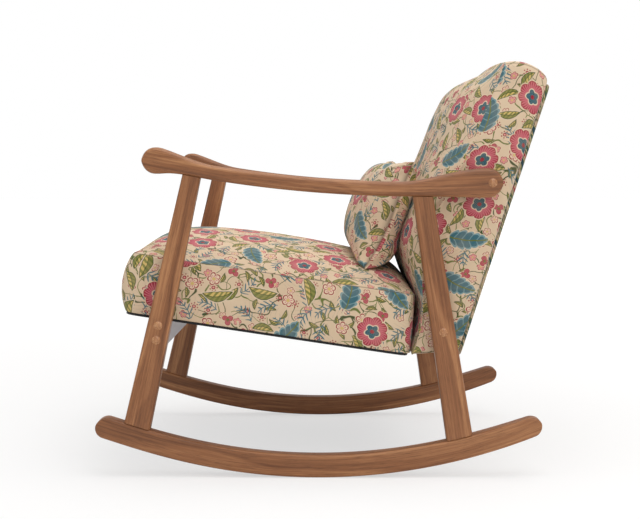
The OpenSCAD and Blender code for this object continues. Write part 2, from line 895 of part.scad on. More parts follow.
// The back's own frame of axes: X across, -Y towards the sitter, Z up its rear face
module back_place() {
    translate([0, back_foot_y, back_foot_height])
        rotate([-back_recline, 0, 0])
            children();
}
back_half = upholstery_width / 2;
back_panel_draw = 4;
back_panel_half = back_half - back_panel_draw;
back_corner_power = 30;
back_top_rise = 26;
back_top_turn = 162;
back_top_fullness = 0.5;
back_swell_reach = 0.8;
back_foot_drop = 22;
back_side_depths = [85, 98, 121, 140, 141, 131, 119, 111, 106, 102, 98];
back_crown_shares = [0, -0.15, 0.09, 0.36, 0.48, 0.72, 0.77, 0.86, 0.99, 1.15, 0.3];
back_foam_share = 0.84;
back_crown_steps = [0.93, 0.8, 0.64, 0.48, 0.32, 0.16];
back_inner_crown_steps = [0.16, 0.32, 0.48, 0.64, 0.8, 0.93, 1];
back_foam_wall = 9;
back_crown_across = 2.6;
back_crown_along = 3.6;
function along(values, u) =
    let (
        last = len(values) - 1,
        c = min(1, max(0, u)) * last,
        k = min(last - 1, floor(c)),
        t = c - k,
        a = values[max(0, k - 1)],
        b = values[k],
        d = values[k + 1],
        e = values[min(last, k + 2)]
    )
    b + t / 2 * ((d - a) + t * ((2 * a - 5 * b + 4 * d - e) + t * (3 * (b - d) + e - a)));
function back_share(s) = s / (back_length + back_top_rise);
function back_depth(s) = along(back_side_depths, back_share(s));
function back_swell(s) = back_crown * along(back_crown_shares, back_share(s));
function back_top(u) = back_length + back_top_rise * pow(sin(back_top_turn * u), back_top_fullness);
function back_ring(u, rho, inset, n = ring_points) = [for (d = square_ring(n))
    let (
        p = on_rounded(d, back_corner_power),
        half_x = back_panel_half + (back_panel_draw - touch) * side_swell(back_swell_reach * u) - inset,
        top = back_top(u) + back_top_crown * (1 - pow(p[0], 2)) - inset,
        foot = inset - back_foot_drop * u,
        s = mix((top + foot) / 2, p[1] > 0 ? top : foot, rho * abs(p[1])),
        lift = back_swell(s) * crown_share(rho * p, back_crown_across, back_crown_along)
    )
    [rho * half_x * p[0], (u < 1 ? 0 : inset) - u * (back_depth(s) + lift), s]];
function back_tip(inset) =
    let (s = (back_top(1) + back_top_crown - back_foot_drop) / 2)
    [0, inset - back_depth(s) - back_swell(s), s];
module back_bowl(outer_inset, inner_inset, outer_walls, inner_walls) {
    // Inside from its middle to its rim, then outside from its rim to its middle
    skin(
        concat(
            [for (rho = back_inner_crown_steps) back_ring(1, rho, inner_inset)],
            [for (u = inner_walls) back_ring(u, 1, inner_inset)],
            [for (u = outer_walls) back_ring(u, 1, outer_inset)],
            [for (rho = back_crown_steps) back_ring(1, rho, outer_inset)]
        ),
        back_tip(inner_inset),
        back_tip(outer_inset),
        len(back_inner_crown_steps)
    );
}
module back_side_bolt_holes() {
    both_sides() {
        at_rear_bolt()
            along_x(stile_inner_x - overrun)
                cylinder(d = bolt_d + 2 * bore_clearance, h = member_thickness + rail_thickness);
        at_arm_bolt()
            along_x(stile_inner_x - overrun)
                cylinder(d = bolt_d + 2 * bore_clearance, h = member_thickness + rail_thickness);
    }
}
module back_cover() {
    color(linen_colour)
        difference() {
            back_place()
                back_bowl(0, cover_wall, [0, 0.03, 0.12, 0.3, 0.55, 0.8, 1], [back_foam_share, 0.6, 0.3, 0]);
            back_side_bolt_holes();
            seat_place()
                seat_bolt_holes();
        }
}

// Back frame
stile_outer_x = back_panel_half - cover_wall - touch;
stile_inner_x = stile_outer_x - rail_thickness;
stile_rear = 20;
stile_front = 68;
stile_foot = 6;
stile_top_gap = 12;
stile_top = back_length - stile_top_gap;
back_rail_depth = 25;
back_rail_height = 45;
bottom_rail_front = 66;
bottom_rail_depth = 30;
middle_rail_share = 0.38;
module back_outline(inset) {
    polygon([for (p = back_ring(0, 1, inset)) [p[0], p[2]]]);
}
module back_plank(left, foot, width, height, front, depth) {
    // A plank square to the rear face, its outer corners rounded as the back's are
    translate([0, depth - front, 0])
        rotate([90, 0, 0])
            linear_extrude(depth)
                intersection() {
                    back_outline(frame_set);
                    translate([left, foot])
                        square([width, height]);
                }
}
module insert_sockets() {
    both_sides() {
        at_rear_bolt()
            along_x(stile_inner_x - overrun)
                cylinder(d = insert_nut_d + 2 * bore_clearance, h = insert_nut_length + overrun);
        at_arm_bolt()
            along_x(stile_inner_x - overrun)
                cylinder(d = insert_nut_d + 2 * bore_clearance, h = insert_nut_length + overrun);
    }
}
module stile() {
    difference() {
        back_place()
            back_plank(stile_inner_x, stile_foot, rail_thickness, stile_top - stile_foot, stile_front,
                stile_front - stile_rear);
        back_side_bolt_holes();
        insert_sockets();
    }
}
module back_left_stile() {
    color(timber_colour)
        stile();
}
module back_right_stile() {
    color(timber_colour)
        right_hand()
            stile();
}
module back_rail(foot, front, depth = back_rail_depth) {
    back_place()
        back_plank(-stile_inner_x, foot, 2 * stile_inner_x, back_rail_height, front, depth);
}
module back_top_rail() {
    color(timber_colour)
        back_rail(stile_top - back_rail_height, stile_front);
}
module back_middle_rail() {
    color(timber_colour)
        back_rail(middle_rail_share * back_length, stile_front - back_rail_depth / 2);
}
module back_bottom_rail() {
    color(timber_colour)
        difference() {
            back_rail(stile_foot, bottom_rail_front, bottom_rail_depth);
            seat_place()
                seat_bolt_holes();
            seat_place()
                seat_bolt_line()
                    translate([0, 0, seat_bolt_length - seat_nut_length])
                        cylinder(d = seat_nut_d + 2 * bore_clearance, h = seat_nut_length + stile_front);
        }
}
seat_nut_d = 14;
seat_nut_length = 8;
module seat_back_nuts() {
    color(steel_colour)
        seat_place()
            seat_bolt_line()
                translate([0, 0, seat_bolt_length - seat_nut_length])
                    difference() {
                        cylinder(d = seat_nut_d, h = seat_nut_length, $fn = 6);
                        translate([0, 0, -overrun])
                            cylinder(d = seat_bolt_d + 2 * bore_clearance, h = seat_nut_length + 2 * overrun);
                    }
}
insert_nut_d = 12;
insert_nut_length = 15;
module insert_nut() {
    along_x(stile_inner_x)
        difference() {
            cylinder(d = insert_nut_d, h = insert_nut_length);
            translate([0, 0, -overrun])
                cylinder(d = bolt_d + 2 * bore_clearance, h = insert_nut_length + 2 * overrun);
        }
}
module insert_nuts() {
    color(steel_colour)
        both_sides() {
            at_rear_bolt()
                insert_nut();
            at_arm_bolt()
                insert_nut();
        }
}

// Elastic straps across the front of the stiles
strap_count = 6;
strap_width = 50;
strap_thickness = 2;
strap_first = 80;
strap_last = stile_top - strap_width - stile_top_gap;
module back_webbing() {
    color(webbing_colour)
        back_place()
            for (k = [0:strap_count - 1])
                translate([
                    touch - stile_outer_x,
                    -stile_front - strap_thickness - touch,
                    mix(strap_first, strap_last, k / (strap_count - 1))
                ])
                    cube([2 * (stile_outer_x - touch), strap_thickness, strap_width]);
}
module back_foam() {
    // A moulded shell, hollow behind, so that the chair balances on its runners
    color(foam_colour)
        difference() {
            back_place()
                back_bowl(foam_inset, foam_inset + back_foam_wall, [back_foam_share, 1], [back_foam_share]);
            seat_place()
                seat_bolt_line()
                    cylinder(d = seat_bolt_d + 2 * foam_bolt_gap, h = seat_bolt_length);
        }
}
panel_thickness = 2.5;
module back_rear_panel() {
    color(linen_colour)
        back_place()
            rotate([90, 0, 0])
                linear_extrude(panel_thickness)
                    back_outline(frame_set);
}
piping_d = 7;
piping_inset = 3;
piping_sides = 6;
module back_piping() {
    // A cord all round the rear edge
    path = back_ring(0, 1, piping_inset);
    n = len(path);
    function outward(k) =
        let (a = path[(k + n - 1) % n], b = path[(k + 1) % n], t = b - a)
        [t[2], 0, -t[0]] / norm(t);
    points = [for (k = [0:n - 1]) for (j = [0:piping_sides - 1])
        let (angle = 360 * j / piping_sides)
        path[k] + [0, piping_d / 2 + touch, 0]
            + piping_d / 2 * (cos(angle) * outward(k) + sin(angle) * [0, 1, 0])];
    faces = [for (k = [0:n - 1]) for (j = [0:piping_sides - 1])
        let (a = k * piping_sides + j, b = k * piping_sides + (j + 1) % piping_sides,
            c = ((k + 1) % n) * piping_sides + (j + 1) % piping_sides, d = ((k + 1) % n) * piping_sides + j)
        each [[a, b, c], [a, c, d]]];
    color(linen_colour)
        back_place()
            polyhedron(points = points, faces = faces, convexity = 4);
}

// Pillow: two swelling panels that meet at a thin seam, over a filling
pillow_lean = 20;
pillow_gap = 8;
pillow_sag_share = 0.18;
pillow_low_share = 0.05;
pillow_wrap = 28;
pillow_low_swell = 16;
pillow_seat_share = 0.8;
pillow_lift = 2.3;
pillow_drop = pillow_height / 2 * (1 - pillow_sag_share) * (1 - pillow_low_share);
pillow_z = seat_top_z(pillow_seat_share) + pillow_lift + pillow_drop * cos(pillow_lean);
pillow_y = back_face_y(pillow_z) - (pillow_rear_swell + pillow_gap) / cos(pillow_lean);
pillow_points = 40;
pillow_pull_share = 0.05;
pillow_side_pull_share = 0.05;
pillow_wall = 2;
pillow_power = 0.36;
pillow_across = 3;
pillow_low_end = 4;
pillow_seam = 2;
// Height of the seat's crown at a share of its depth, and the front of the back at height z, both in the middle
function seat_top_z(share) =
    let (w = seat_side_height + seat_crown * seat_crown_share([0, 2 * share - 1]))
    seat_front_height - share * seat_depth * sin(seat_tilt) + w * cos(seat_tilt);
function back_face_y(z) =
    let (
        rough = (z - back_foot_height) / cos(back_recline),
        s = rough - (back_depth(rough) + back_swell(rough)) * tan(back_recline)
    )
    back_y(back_depth(s) + back_swell(s), z);
module pillow_place() {
    translate([0, pillow_y, pillow_z])
        rotate([-pillow_lean, 0, 0])
            children();
}
function pillow_point(d, rho, swell, low_swell, wrap, inset, thick = 1) =
    let (
        x = rho * d[0],
        z = rho * d[1],
        low = max(0, -z),
        half_x = pillow_width / 2 - inset,
        half_z = (pillow_height / 2 - inset) * (z < 0 ? 1 - pillow_low_share : 1),
        lift = pow(max(0, (1 - pow(abs(x), pillow_across)) * (1 - z * z)), pillow_power),
        depth = swell - inset + low_swell * low * (1 - pow(low, pillow_low_end))
    )
    [
        half_x * x * (1 - pillow_side_pull_share * (1 - pow(d[1], 2)) * rho),
        thick * (pillow_seam / 2 + depth * lift) + wrap * x * x,
        half_z * z * (1 - (z < 0 ? pillow_sag_share : pillow_pull_share) * (1 - pow(d[0], 2)) * rho)
    ];
function pillow_ring(rho, swell, low_swell, wrap, inset, thick = 1) =
    [for (d = square_ring(pillow_points)) pillow_point(d, rho, swell, low_swell, wrap, inset, thick)];
pillow_steps = [1, 0.97, 0.9, 0.8, 0.66, 0.48, 0.26];
pillow_inner_steps = [0.3, 0.6, 0.82, 0.95, 0.99];
module pillow_panel(swell, low_swell, wrap) {
    skin(
        concat(
            [for (rho = pillow_inner_steps) pillow_ring(rho, swell, low_swell, wrap, pillow_wall)],
            [pillow_ring(1, swell, low_swell, wrap, pillow_wall, 0)],
            [pillow_ring(1, swell, low_swell, wrap, 0, 0)],
            [for (rho = pillow_steps) pillow_ring(rho, swell, low_swell, wrap, 0)]
        ),
        [0, pillow_seam / 2 + swell - pillow_wall, 0],
        [0, pillow_seam / 2 + swell, 0]
    );
}
module pillow_front_panel() {
    color(linen_colour)
        pillow_place()
            mirror([0, 1, 0])
                pillow_panel(pillow_front_swell, 0, -pillow_wrap);
}
module pillow_rear_panel() {
    color(linen_colour)
        pillow_place()
            pillow_panel(pillow_rear_swell, pillow_low_swell, pillow_wrap);
}
filling_gap = 2;
filling_steps = [0.95, 0.82, 0.6, 0.3];
module pillow_filling() {
    // One loose bag of fibre, its front and rear swelling like the panels
    outside = pillow_wall + filling_gap;
    turned_steps = [for (k = [len(filling_steps) - 1:-1:0]) filling_steps[k]];
    color(foam_colour)
        pillow_place()
            skin(
                concat(
                    [for (rho = turned_steps)
                        [for (q = pillow_ring(rho, pillow_front_swell, 0, -pillow_wrap, outside))
                            [q[0], -q[1], q[2]]]],
                    [for (rho = filling_steps)
                        pillow_ring(rho, pillow_rear_swell, pillow_low_swell, pillow_wrap, outside)]
                ),
                [0, -pillow_seam / 2 - pillow_front_swell + outside, 0],
                [0, pillow_seam / 2 + pillow_rear_swell - outside, 0]
            );
}

left_runner();
right_runner();
left_front_leg();
right_front_leg();
left_rear_leg();
right_rear_leg();
left_armrest();
right_armrest();
front_cross_rail();
arm_dowels();
runner_dowels();
front_leg_bolts();
rear_leg_bolts();
arm_bolts();
weld_nuts();
insert_nuts();
front_leg_plugs();
rear_leg_plugs();
arm_plugs();
seat_front_rail();
seat_rear_rail();
seat_left_rail();
seat_right_rail();
seat_corner_blocks();
seat_springs();
spring_clips();
seat_spring_pad();
seat_foam();
seat_cover();
seat_dust_cover();
cross_rail_screws();
seat_back_bolts();
seat_back_nuts();
back_left_stile();
back_right_stile();
back_top_rail();
back_middle_rail();
back_bottom_rail();
back_webbing();
back_foam();
back_cover();
back_rear_panel();
back_piping();
pillow_front_panel();
pillow_rear_panel();
pillow_filling();
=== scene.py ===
"""Rocking armchair: wooden side frames on curved runners, and padding in a printed linen."""

import logging
import math
from dataclasses import dataclass
from enum import Enum
from typing import Callable, Sequence

import bmesh
import bpy
import numpy as np
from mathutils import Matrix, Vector
from mathutils.bvhtree import BVHTree


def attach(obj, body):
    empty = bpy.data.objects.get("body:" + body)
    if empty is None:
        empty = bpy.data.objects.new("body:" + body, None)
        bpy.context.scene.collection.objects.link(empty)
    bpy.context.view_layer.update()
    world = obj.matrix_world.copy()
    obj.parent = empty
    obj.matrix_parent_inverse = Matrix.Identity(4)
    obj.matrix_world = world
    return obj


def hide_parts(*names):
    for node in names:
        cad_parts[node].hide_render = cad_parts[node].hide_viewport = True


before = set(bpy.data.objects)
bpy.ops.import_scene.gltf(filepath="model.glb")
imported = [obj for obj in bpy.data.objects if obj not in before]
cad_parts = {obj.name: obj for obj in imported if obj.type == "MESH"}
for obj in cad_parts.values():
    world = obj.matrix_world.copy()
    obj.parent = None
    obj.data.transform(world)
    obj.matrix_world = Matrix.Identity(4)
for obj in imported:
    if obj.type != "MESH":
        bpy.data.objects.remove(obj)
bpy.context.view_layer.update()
LOG = logging.getLogger("rocking_armchair")
MM = 0.001
TURN = 2 * math.pi
WHITE = (1.0, 1.0, 1.0, 1.0)
Colour = tuple[float, float, float, float]
Pair = tuple[float, float]
Triple = tuple[float, float, float]
Socket = bpy.types.NodeSocket
Material = bpy.types.Material
Piece = bpy.types.Object


def ink(red: int, green: int, blue: int) -> Colour:
    """Turn a colour as it looks on a screen into linear light.

    Args:
        red: red share, 0 to 255.
        green: green share, 0 to 255.
        blue: blue share, 0 to 255.

    Returns:
        The linear colour with full alpha.
    """
    shares = [value / 255 for value in (red, green, blue)]
    linear = [share / 12.92 if share <= 0.04045 else ((share + 0.055) / 1.055) ** 2.4 for share in shares]
    return (*linear, 1.0)


# Node trees


class Signal:
    """A number in a node tree that plain arithmetic builds on."""

    def __init__(self, tree: bpy.types.NodeTree, socket: Socket) -> None:
        """Hold a socket of a tree."""
        self.tree = tree
        self.socket = socket

    def op(self, operation: str, *others: "Signal | float", clamp: bool = False) -> "Signal":
        """Join this number and others in a Math node.

        Args:
            operation: the Math node's operation.
            others: the other operands.
            clamp: whether the result is held between 0 and 1.

        Returns:
            The node's result.
        """
        node = self.tree.nodes.new("ShaderNodeMath")
        node.operation = operation
        node.use_clamp = clamp
        for place, value in enumerate((self, *others)):
            if isinstance(value, Signal):
                self.tree.links.new(value.socket, node.inputs[place])
            else:
                node.inputs[place].default_value = value
        return Signal(self.tree, node.outputs[0])

    def __add__(self, other: "Signal | float") -> "Signal":
        """Add."""
        return self.op("ADD", other)

    def __sub__(self, other: "Signal | float") -> "Signal":
        """Subtract."""
        return self.op("SUBTRACT", other)

    def __rsub__(self, other: float) -> "Signal":
        """Subtract from a plain number."""
        return (self * -1.0) + other

    def __mul__(self, other: "Signal | float") -> "Signal":
        """Multiply."""
        return self.op("MULTIPLY", other)

    def __truediv__(self, other: "Signal | float") -> "Signal":
        """Divide."""
        return self.op("DIVIDE", other)

    def __abs__(self) -> "Signal":
        """Drop the sign."""
        return self.op("ABSOLUTE")

    def sine(self) -> "Signal":
        """Sine, in radians."""
        return self.op("SINE")

    def cosine(self) -> "Signal":
        """Cosine, in radians."""
        return self.op("COSINE")

    def root(self) -> "Signal":
        """Square root, 0 below 0."""
        return self.op("MAXIMUM", 0.0).op("SQRT")

    def inside(self, blur: float) -> "Signal":
        """Give 1 where this distance is below 0 and 0 above it, with a soft edge of that width."""
        return (self * (-1.0 / blur)).op("ADD", 0.5, clamp=True)

    def above(self, level: float) -> "Signal":
        """Give 1 where this is above a level."""
        return self.op("GREATER_THAN", level)


class NodeWork:
    """A node tree while it is being built."""

    def __init__(self, tree: bpy.types.NodeTree) -> None:
        """Work on that tree."""
        self.tree = tree

    def node(self, kind: str, **settings: object) -> bpy.types.Node:
        """Add a node with its settings.

        Args:
            kind: the node's type.
            settings: attributes of the node, and inputs written with a leading in_.

        Returns:
            The new node.
        """
        node = self.tree.nodes.new(kind)
        for key, value in settings.items():
            if key.startswith("in_"):
                self.plug(node.inputs[key[3:].replace("_", " ")], value)
            else:
                setattr(node, key, value)
        return node

    def plug(self, socket: Socket, value: object) -> None:
        """Link or set one input.

        Args:
            socket: the input.
            value: a signal, an output or a plain value.
        """
        if isinstance(value, Signal):
            self.tree.links.new(value.socket, socket)
        elif isinstance(value, Socket):
            self.tree.links.new(value, socket)
        else:
            socket.default_value = value

    def signal(self, socket: Socket) -> Signal:
        """Wrap an output for arithmetic."""
        return Signal(self.tree, socket)

    def split(self, vector: Socket) -> tuple[Signal, Signal, Signal]:
        """Take a vector apart."""
        node = self.node("ShaderNodeSeparateXYZ", in_Vector=vector)
        return tuple(self.signal(out) for out in node.outputs)

    def join(self, x: object, y: object, z: object = 0.0) -> Socket:
        """Put a vector together."""
        return self.node("ShaderNodeCombineXYZ", in_X=x, in_Y=y, in_Z=z).outputs[0]


class Recipe(NodeWork):
    """A material's node tree, with the steps that the finishes share."""

    def __init__(self, name: str) -> None:
        """Start a material of that name with a plain shader.

        Args:
            name: the material's name.
        """
        self.material = bpy.data.materials.new(name)
        self.material.use_nodes = True
        super().__init__(self.material.node_tree)
        self.shader = self.tree.nodes["Principled BSDF"]

    def noise(self, vector: Socket, scale: float, detail: float = 2.0, warp: float = 0.0) -> Signal:
        """Give smooth noise.

        Args:
            vector: where the noise is read.
            scale: cells for each unit.
            detail: octaves.
            warp: distortion.

        Returns:
            A number about 0.5.
        """
        settings = {"in_Vector": vector, "in_Scale": scale, "in_Detail": detail, "in_Distortion": warp}
        return self.signal(self.node("ShaderNodeTexNoise", **settings).outputs["Fac"])

    def sway(self, vector: Socket, scale: float, detail: float) -> tuple[Signal, Signal]:
        """Give two noises about 0, to push a place about.

        Args:
            vector: where the noise is read.
            scale: cells for each unit.
            detail: octaves.

        Returns:
            The two pushes.
        """
        noise = self.node("ShaderNodeTexNoise", in_Vector=vector, in_Scale=scale, in_Detail=detail)
        x, y, _ = self.split(noise.outputs["Color"])
        return x - 0.5, y - 0.5

    def mix(self, share: object, low: object, high: object, blend: str = "MIX") -> Socket:
        """Blend two colours.

        Args:
            share: how much of the second shows.
            low: the first colour.
            high: the second colour.
            blend: the blend mode.

        Returns:
            The blended colour.
        """
        node = self.node("ShaderNodeMix", data_type="RGBA", blend_type=blend)
        for place, value in ((0, share), (6, low), (7, high)):
            self.plug(node.inputs[place], value)
        return node.outputs[2]

    def ramp(self, share: Signal, stops: Sequence[tuple[float, Colour]]) -> Socket:
        """Read a colour ramp.

        Args:
            share: where on the ramp.
            stops: places and colours.

        Returns:
            The colour there.
        """
        node = self.node("ShaderNodeValToRGB", in_Fac=share)
        elements = node.color_ramp.elements
        while len(elements) < len(stops):
            elements.new(0.5)
        for element, (place, colour) in zip(elements, stops):
            element.position = place
            element.color = colour
        return node.outputs[0]

    def finish(
        self, colour: object, roughness: object, height: Signal | None = None, depth: float = 0.2,
        **levels: float,
    ) -> Material:
        """Fill in the shader.

        Args:
            colour: base colour.
            roughness: roughness.
            height: relief, 0 to 1, or None.
            depth: how deep the relief is, in millimetres.
            levels: other inputs of the shader, with their names' spaces as underscores.

        Returns:
            The finished material.
        """
        self.plug(self.shader.inputs["Base Color"], colour)
        self.plug(self.shader.inputs["Roughness"], roughness)
        for key, value in levels.items():
            self.shader.inputs[key.replace("_", " ")].default_value = value
        if height is not None:
            bump = self.node("ShaderNodeBump", in_Strength=1.0, in_Distance=depth * MM, in_Height=height)
            self.plug(self.shader.inputs["Normal"], bump.outputs[0])
        return self.material


# Finishes


@dataclass(frozen=True)
class WoodFinish:
    """Oiled hardwood whose grain follows the member, or the object's own axes."""

    name: str
    dark: Colour
    middle: Colour
    light: Colour
    pore: Colour
    along: str = "grain"
    roughness: float = 0.42
    pore_share: float = 0.45
    wear_and_highlight_share: float = 0.3

    def material(self) -> Material:
        """Build the wood: broad figure, fine streaks, short pores, wear and a painted highlight on its edges,
        and a satin surface.

        Returns:
            The material.
        """
        recipe = Recipe(self.name)
        if self.along:
            place = recipe.node("ShaderNodeAttribute", attribute_name=self.along).outputs["Vector"]
        else:
            place = recipe.node("ShaderNodeTexCoord").outputs["Object"]
        length, across, depth = recipe.split(place)
        drift = recipe.noise(recipe.join(length * 2.2, across * 9.0, depth * 9.0), 1.0)
        figure_place = recipe.join(length * 1.6, across * 46.0 + drift * 5.0, depth * 30.0)
        figure = recipe.noise(figure_place, 1.0, 3.0, 0.6)
        streak = recipe.noise(recipe.join(length * 7.0, across * 330.0, depth * 330.0), 1.0, 4.0, 0.2)
        pores = recipe.noise(recipe.join(length * 42.0, across * 1500.0, depth * 1500.0), 1.0, 1.0)
        tone = figure * 0.62 + streak * 0.38
        wood = recipe.ramp(tone, [(0.30, self.dark), (0.5, self.middle), (0.68, self.light)])
        marks = (0.42 - pores).op("MULTIPLY", 9.0, clamp=True) * self.pore_share
        colour = recipe.mix(marks, wood, self.pore)
        # Convex edges go towards the light tone: partly wear, and partly a painted highlight of the lit
        # rounded edges.
        convexity = recipe.signal(recipe.node("ShaderNodeNewGeometry").outputs["Pointiness"])
        edge = (convexity - 0.52).op("MULTIPLY", 9.0, clamp=True) * self.wear_and_highlight_share
        colour = recipe.mix(edge, colour, self.light)
        rough = streak * 0.16 + (self.roughness - 0.08) + marks * 0.15
        return recipe.finish(colour, rough, streak * 0.5 - marks, 0.18, Specular_IOR_Level=0.42)


@dataclass(frozen=True)
class PaintFinish:
    """A sprayed or plated metal surface with a light orange peel."""

    name: str
    colour: Colour
    roughness: float
    metallic: float = 0.0

    def material(self) -> Material:
        """Build the coat, with faint clouds in its colour and its gloss.

        Returns:
            The material.
        """
        recipe = Recipe(self.name)
        place = recipe.node("ShaderNodeTexCoord").outputs["Object"]
        cloud = recipe.noise(place, 9.0, 3.0)
        dull = tuple(0.86 * value for value in self.colour[:3]) + (1.0,)
        colour = recipe.mix(cloud, dull, self.colour)
        peel = recipe.noise(place, 420.0)
        return recipe.finish(colour, cloud * 0.12 + self.roughness, peel, 0.06, Metallic=self.metallic)


@dataclass(frozen=True)
class CordFinish:
    """Printed linen cut on the slant and wound round a cord, so that its print breaks up into short bands."""

    name: str
    inks: tuple[Colour, ...]
    thread: float = 1.1
    roughness: float = 0.88

    def material(self) -> Material:
        """Build the cord's cloth: slanting bands of the print's inks, and its threads.

        Returns:
            The material.
        """
        recipe = Recipe(self.name)
        run, turn, _ = recipe.split(recipe.node("ShaderNodeUVMap", uv_map="cloth").outputs[0])
        slant = run + turn * 1.2
        bands = recipe.noise(recipe.join(slant * 62.0, turn * 30.0), 1.0)
        width = 0.32 / len(self.inks)
        colour = recipe.ramp(bands, [(0.34 + width * k, shade) for k, shade in enumerate(self.inks)])
        threads = (slant * (TURN / (self.thread * MM))).sine() * 0.5 + 0.5
        colour = recipe.mix(threads * 0.22, colour, (0.24, 0.18, 0.12, 1.0), "MULTIPLY")
        return recipe.finish(colour, self.roughness, threads, 0.2, Sheen_Weight=0.1)


@dataclass(frozen=True)
class ClothFinish:
    """A plain woven or felted cloth, with the pitch of its threads in metres."""

    name: str
    colour: Colour
    pitch: float
    roughness: float = 0.9

    def material(self) -> Material:
        """Build the cloth: threads both ways and a mottled colour.

        Returns:
            The material.
        """
        recipe = Recipe(self.name)
        place = recipe.node("ShaderNodeTexCoord").outputs["Object"]
        x, y, z = recipe.split(place)
        turn = TURN / self.pitch
        weave = ((x + z) * turn).sine() * ((y - z) * turn).sine() * 0.5 + 0.5
        mottle = recipe.noise(place, 160.0, 4.0)
        faded = tuple(min(1.0, 1.6 * value + 0.01) for value in self.colour[:3]) + (1.0,)
        colour = recipe.mix(mottle * 0.6 + weave * 0.2, self.colour, faded)
        return recipe.finish(colour, self.roughness, weave * 0.6 + mottle * 0.4, 0.3, Sheen_Weight=0.15)


class Motif(Enum):
    """The drawn things that the linen is scattered with."""

    BLOOM = "wide blooms with dark hearts"
    LOBED_LEAF = "broad leaves with lobes and pale veins"
    FOLDED_LEAF = "narrow leaves with slanting stripes"
    SPRIG = "sprigs with leaflets on both sides"
    BERRIES = "netted berries in threes"
    STARLET = "small flowers with five petals"
    BUDS = "buds in rings of dots"


@dataclass(frozen=True)
class Scatter:
    """A motif in a field: the range of chances that picks it, its reach and its halo, in millimetres."""

    motif: Motif
    low: float
    high: float
    reach: float
    halo: float = 0.0


@dataclass(frozen=True)
class Field:
    """Cells laid over the cloth: width in millimetres, slant, seed, share of play, and what they hold."""

    size: float
    slant: float
    seed: float
    play: float
    motifs: tuple[Scatter, ...]


FIELDS = (
    Field(26.0, 0.9, 11.0, 0.2, (
        Scatter(Motif.FOLDED_LEAF, 0.0, 0.34, 12.0),
        Scatter(Motif.STARLET, 0.34, 0.66, 8.0, 1.0),
        Scatter(Motif.BUDS, 0.66, 0.86, 8.5),
    )),
    Field(41.0, 0.45, 23.0, 0.15, (
        Scatter(Motif.SPRIG, 0.0, 0.34, 23.0),
        Scatter(Motif.FOLDED_LEAF, 0.34, 0.62, 22.0, 1.0),
        Scatter(Motif.BERRIES, 0.62, 0.78, 12.0, 1.0),
        Scatter(Motif.STARLET, 0.78, 0.95, 13.0, 1.5),
    )),
    Field(88.0, 0.2, 37.0, 0.3, (
        Scatter(Motif.BLOOM, 0.0, 0.36, 30.0, 2.0),
        Scatter(Motif.LOBED_LEAF, 0.36, 0.68, 37.0, 2.0),
        Scatter(Motif.FOLDED_LEAF, 0.68, 0.90, 29.0, 2.0),
    )),
)


@dataclass(frozen=True)
class Spot:
    """A place in a motif's own axes, in millimetres, with the two chances that its cell drew."""

    recipe: Recipe
    x: Signal
    y: Signal
    pick: Signal
    shade: Signal

    def polar(self) -> tuple[Signal, Signal]:
        """Distance from the motif's middle, and the angle about it."""
        return (self.x * self.x + self.y * self.y).root(), self.y.op("ARCTAN2", self.x)

    def to_ring(self, count: int, arm: float) -> Signal:
        """Measure to the nearest of some points set evenly round the middle.

        Args:
            count: how many points there are.
            arm: how far out they stand.

        Returns:
            The distance.
        """
        r, angle = self.polar()
        part = TURN / count
        fold = (angle / part - (angle / part).op("ROUND")) * part
        x, y = r * fold.cosine() - arm, r * fold.sine()
        return (x * x + y * y).root()


Drawn = tuple[Signal, Socket]


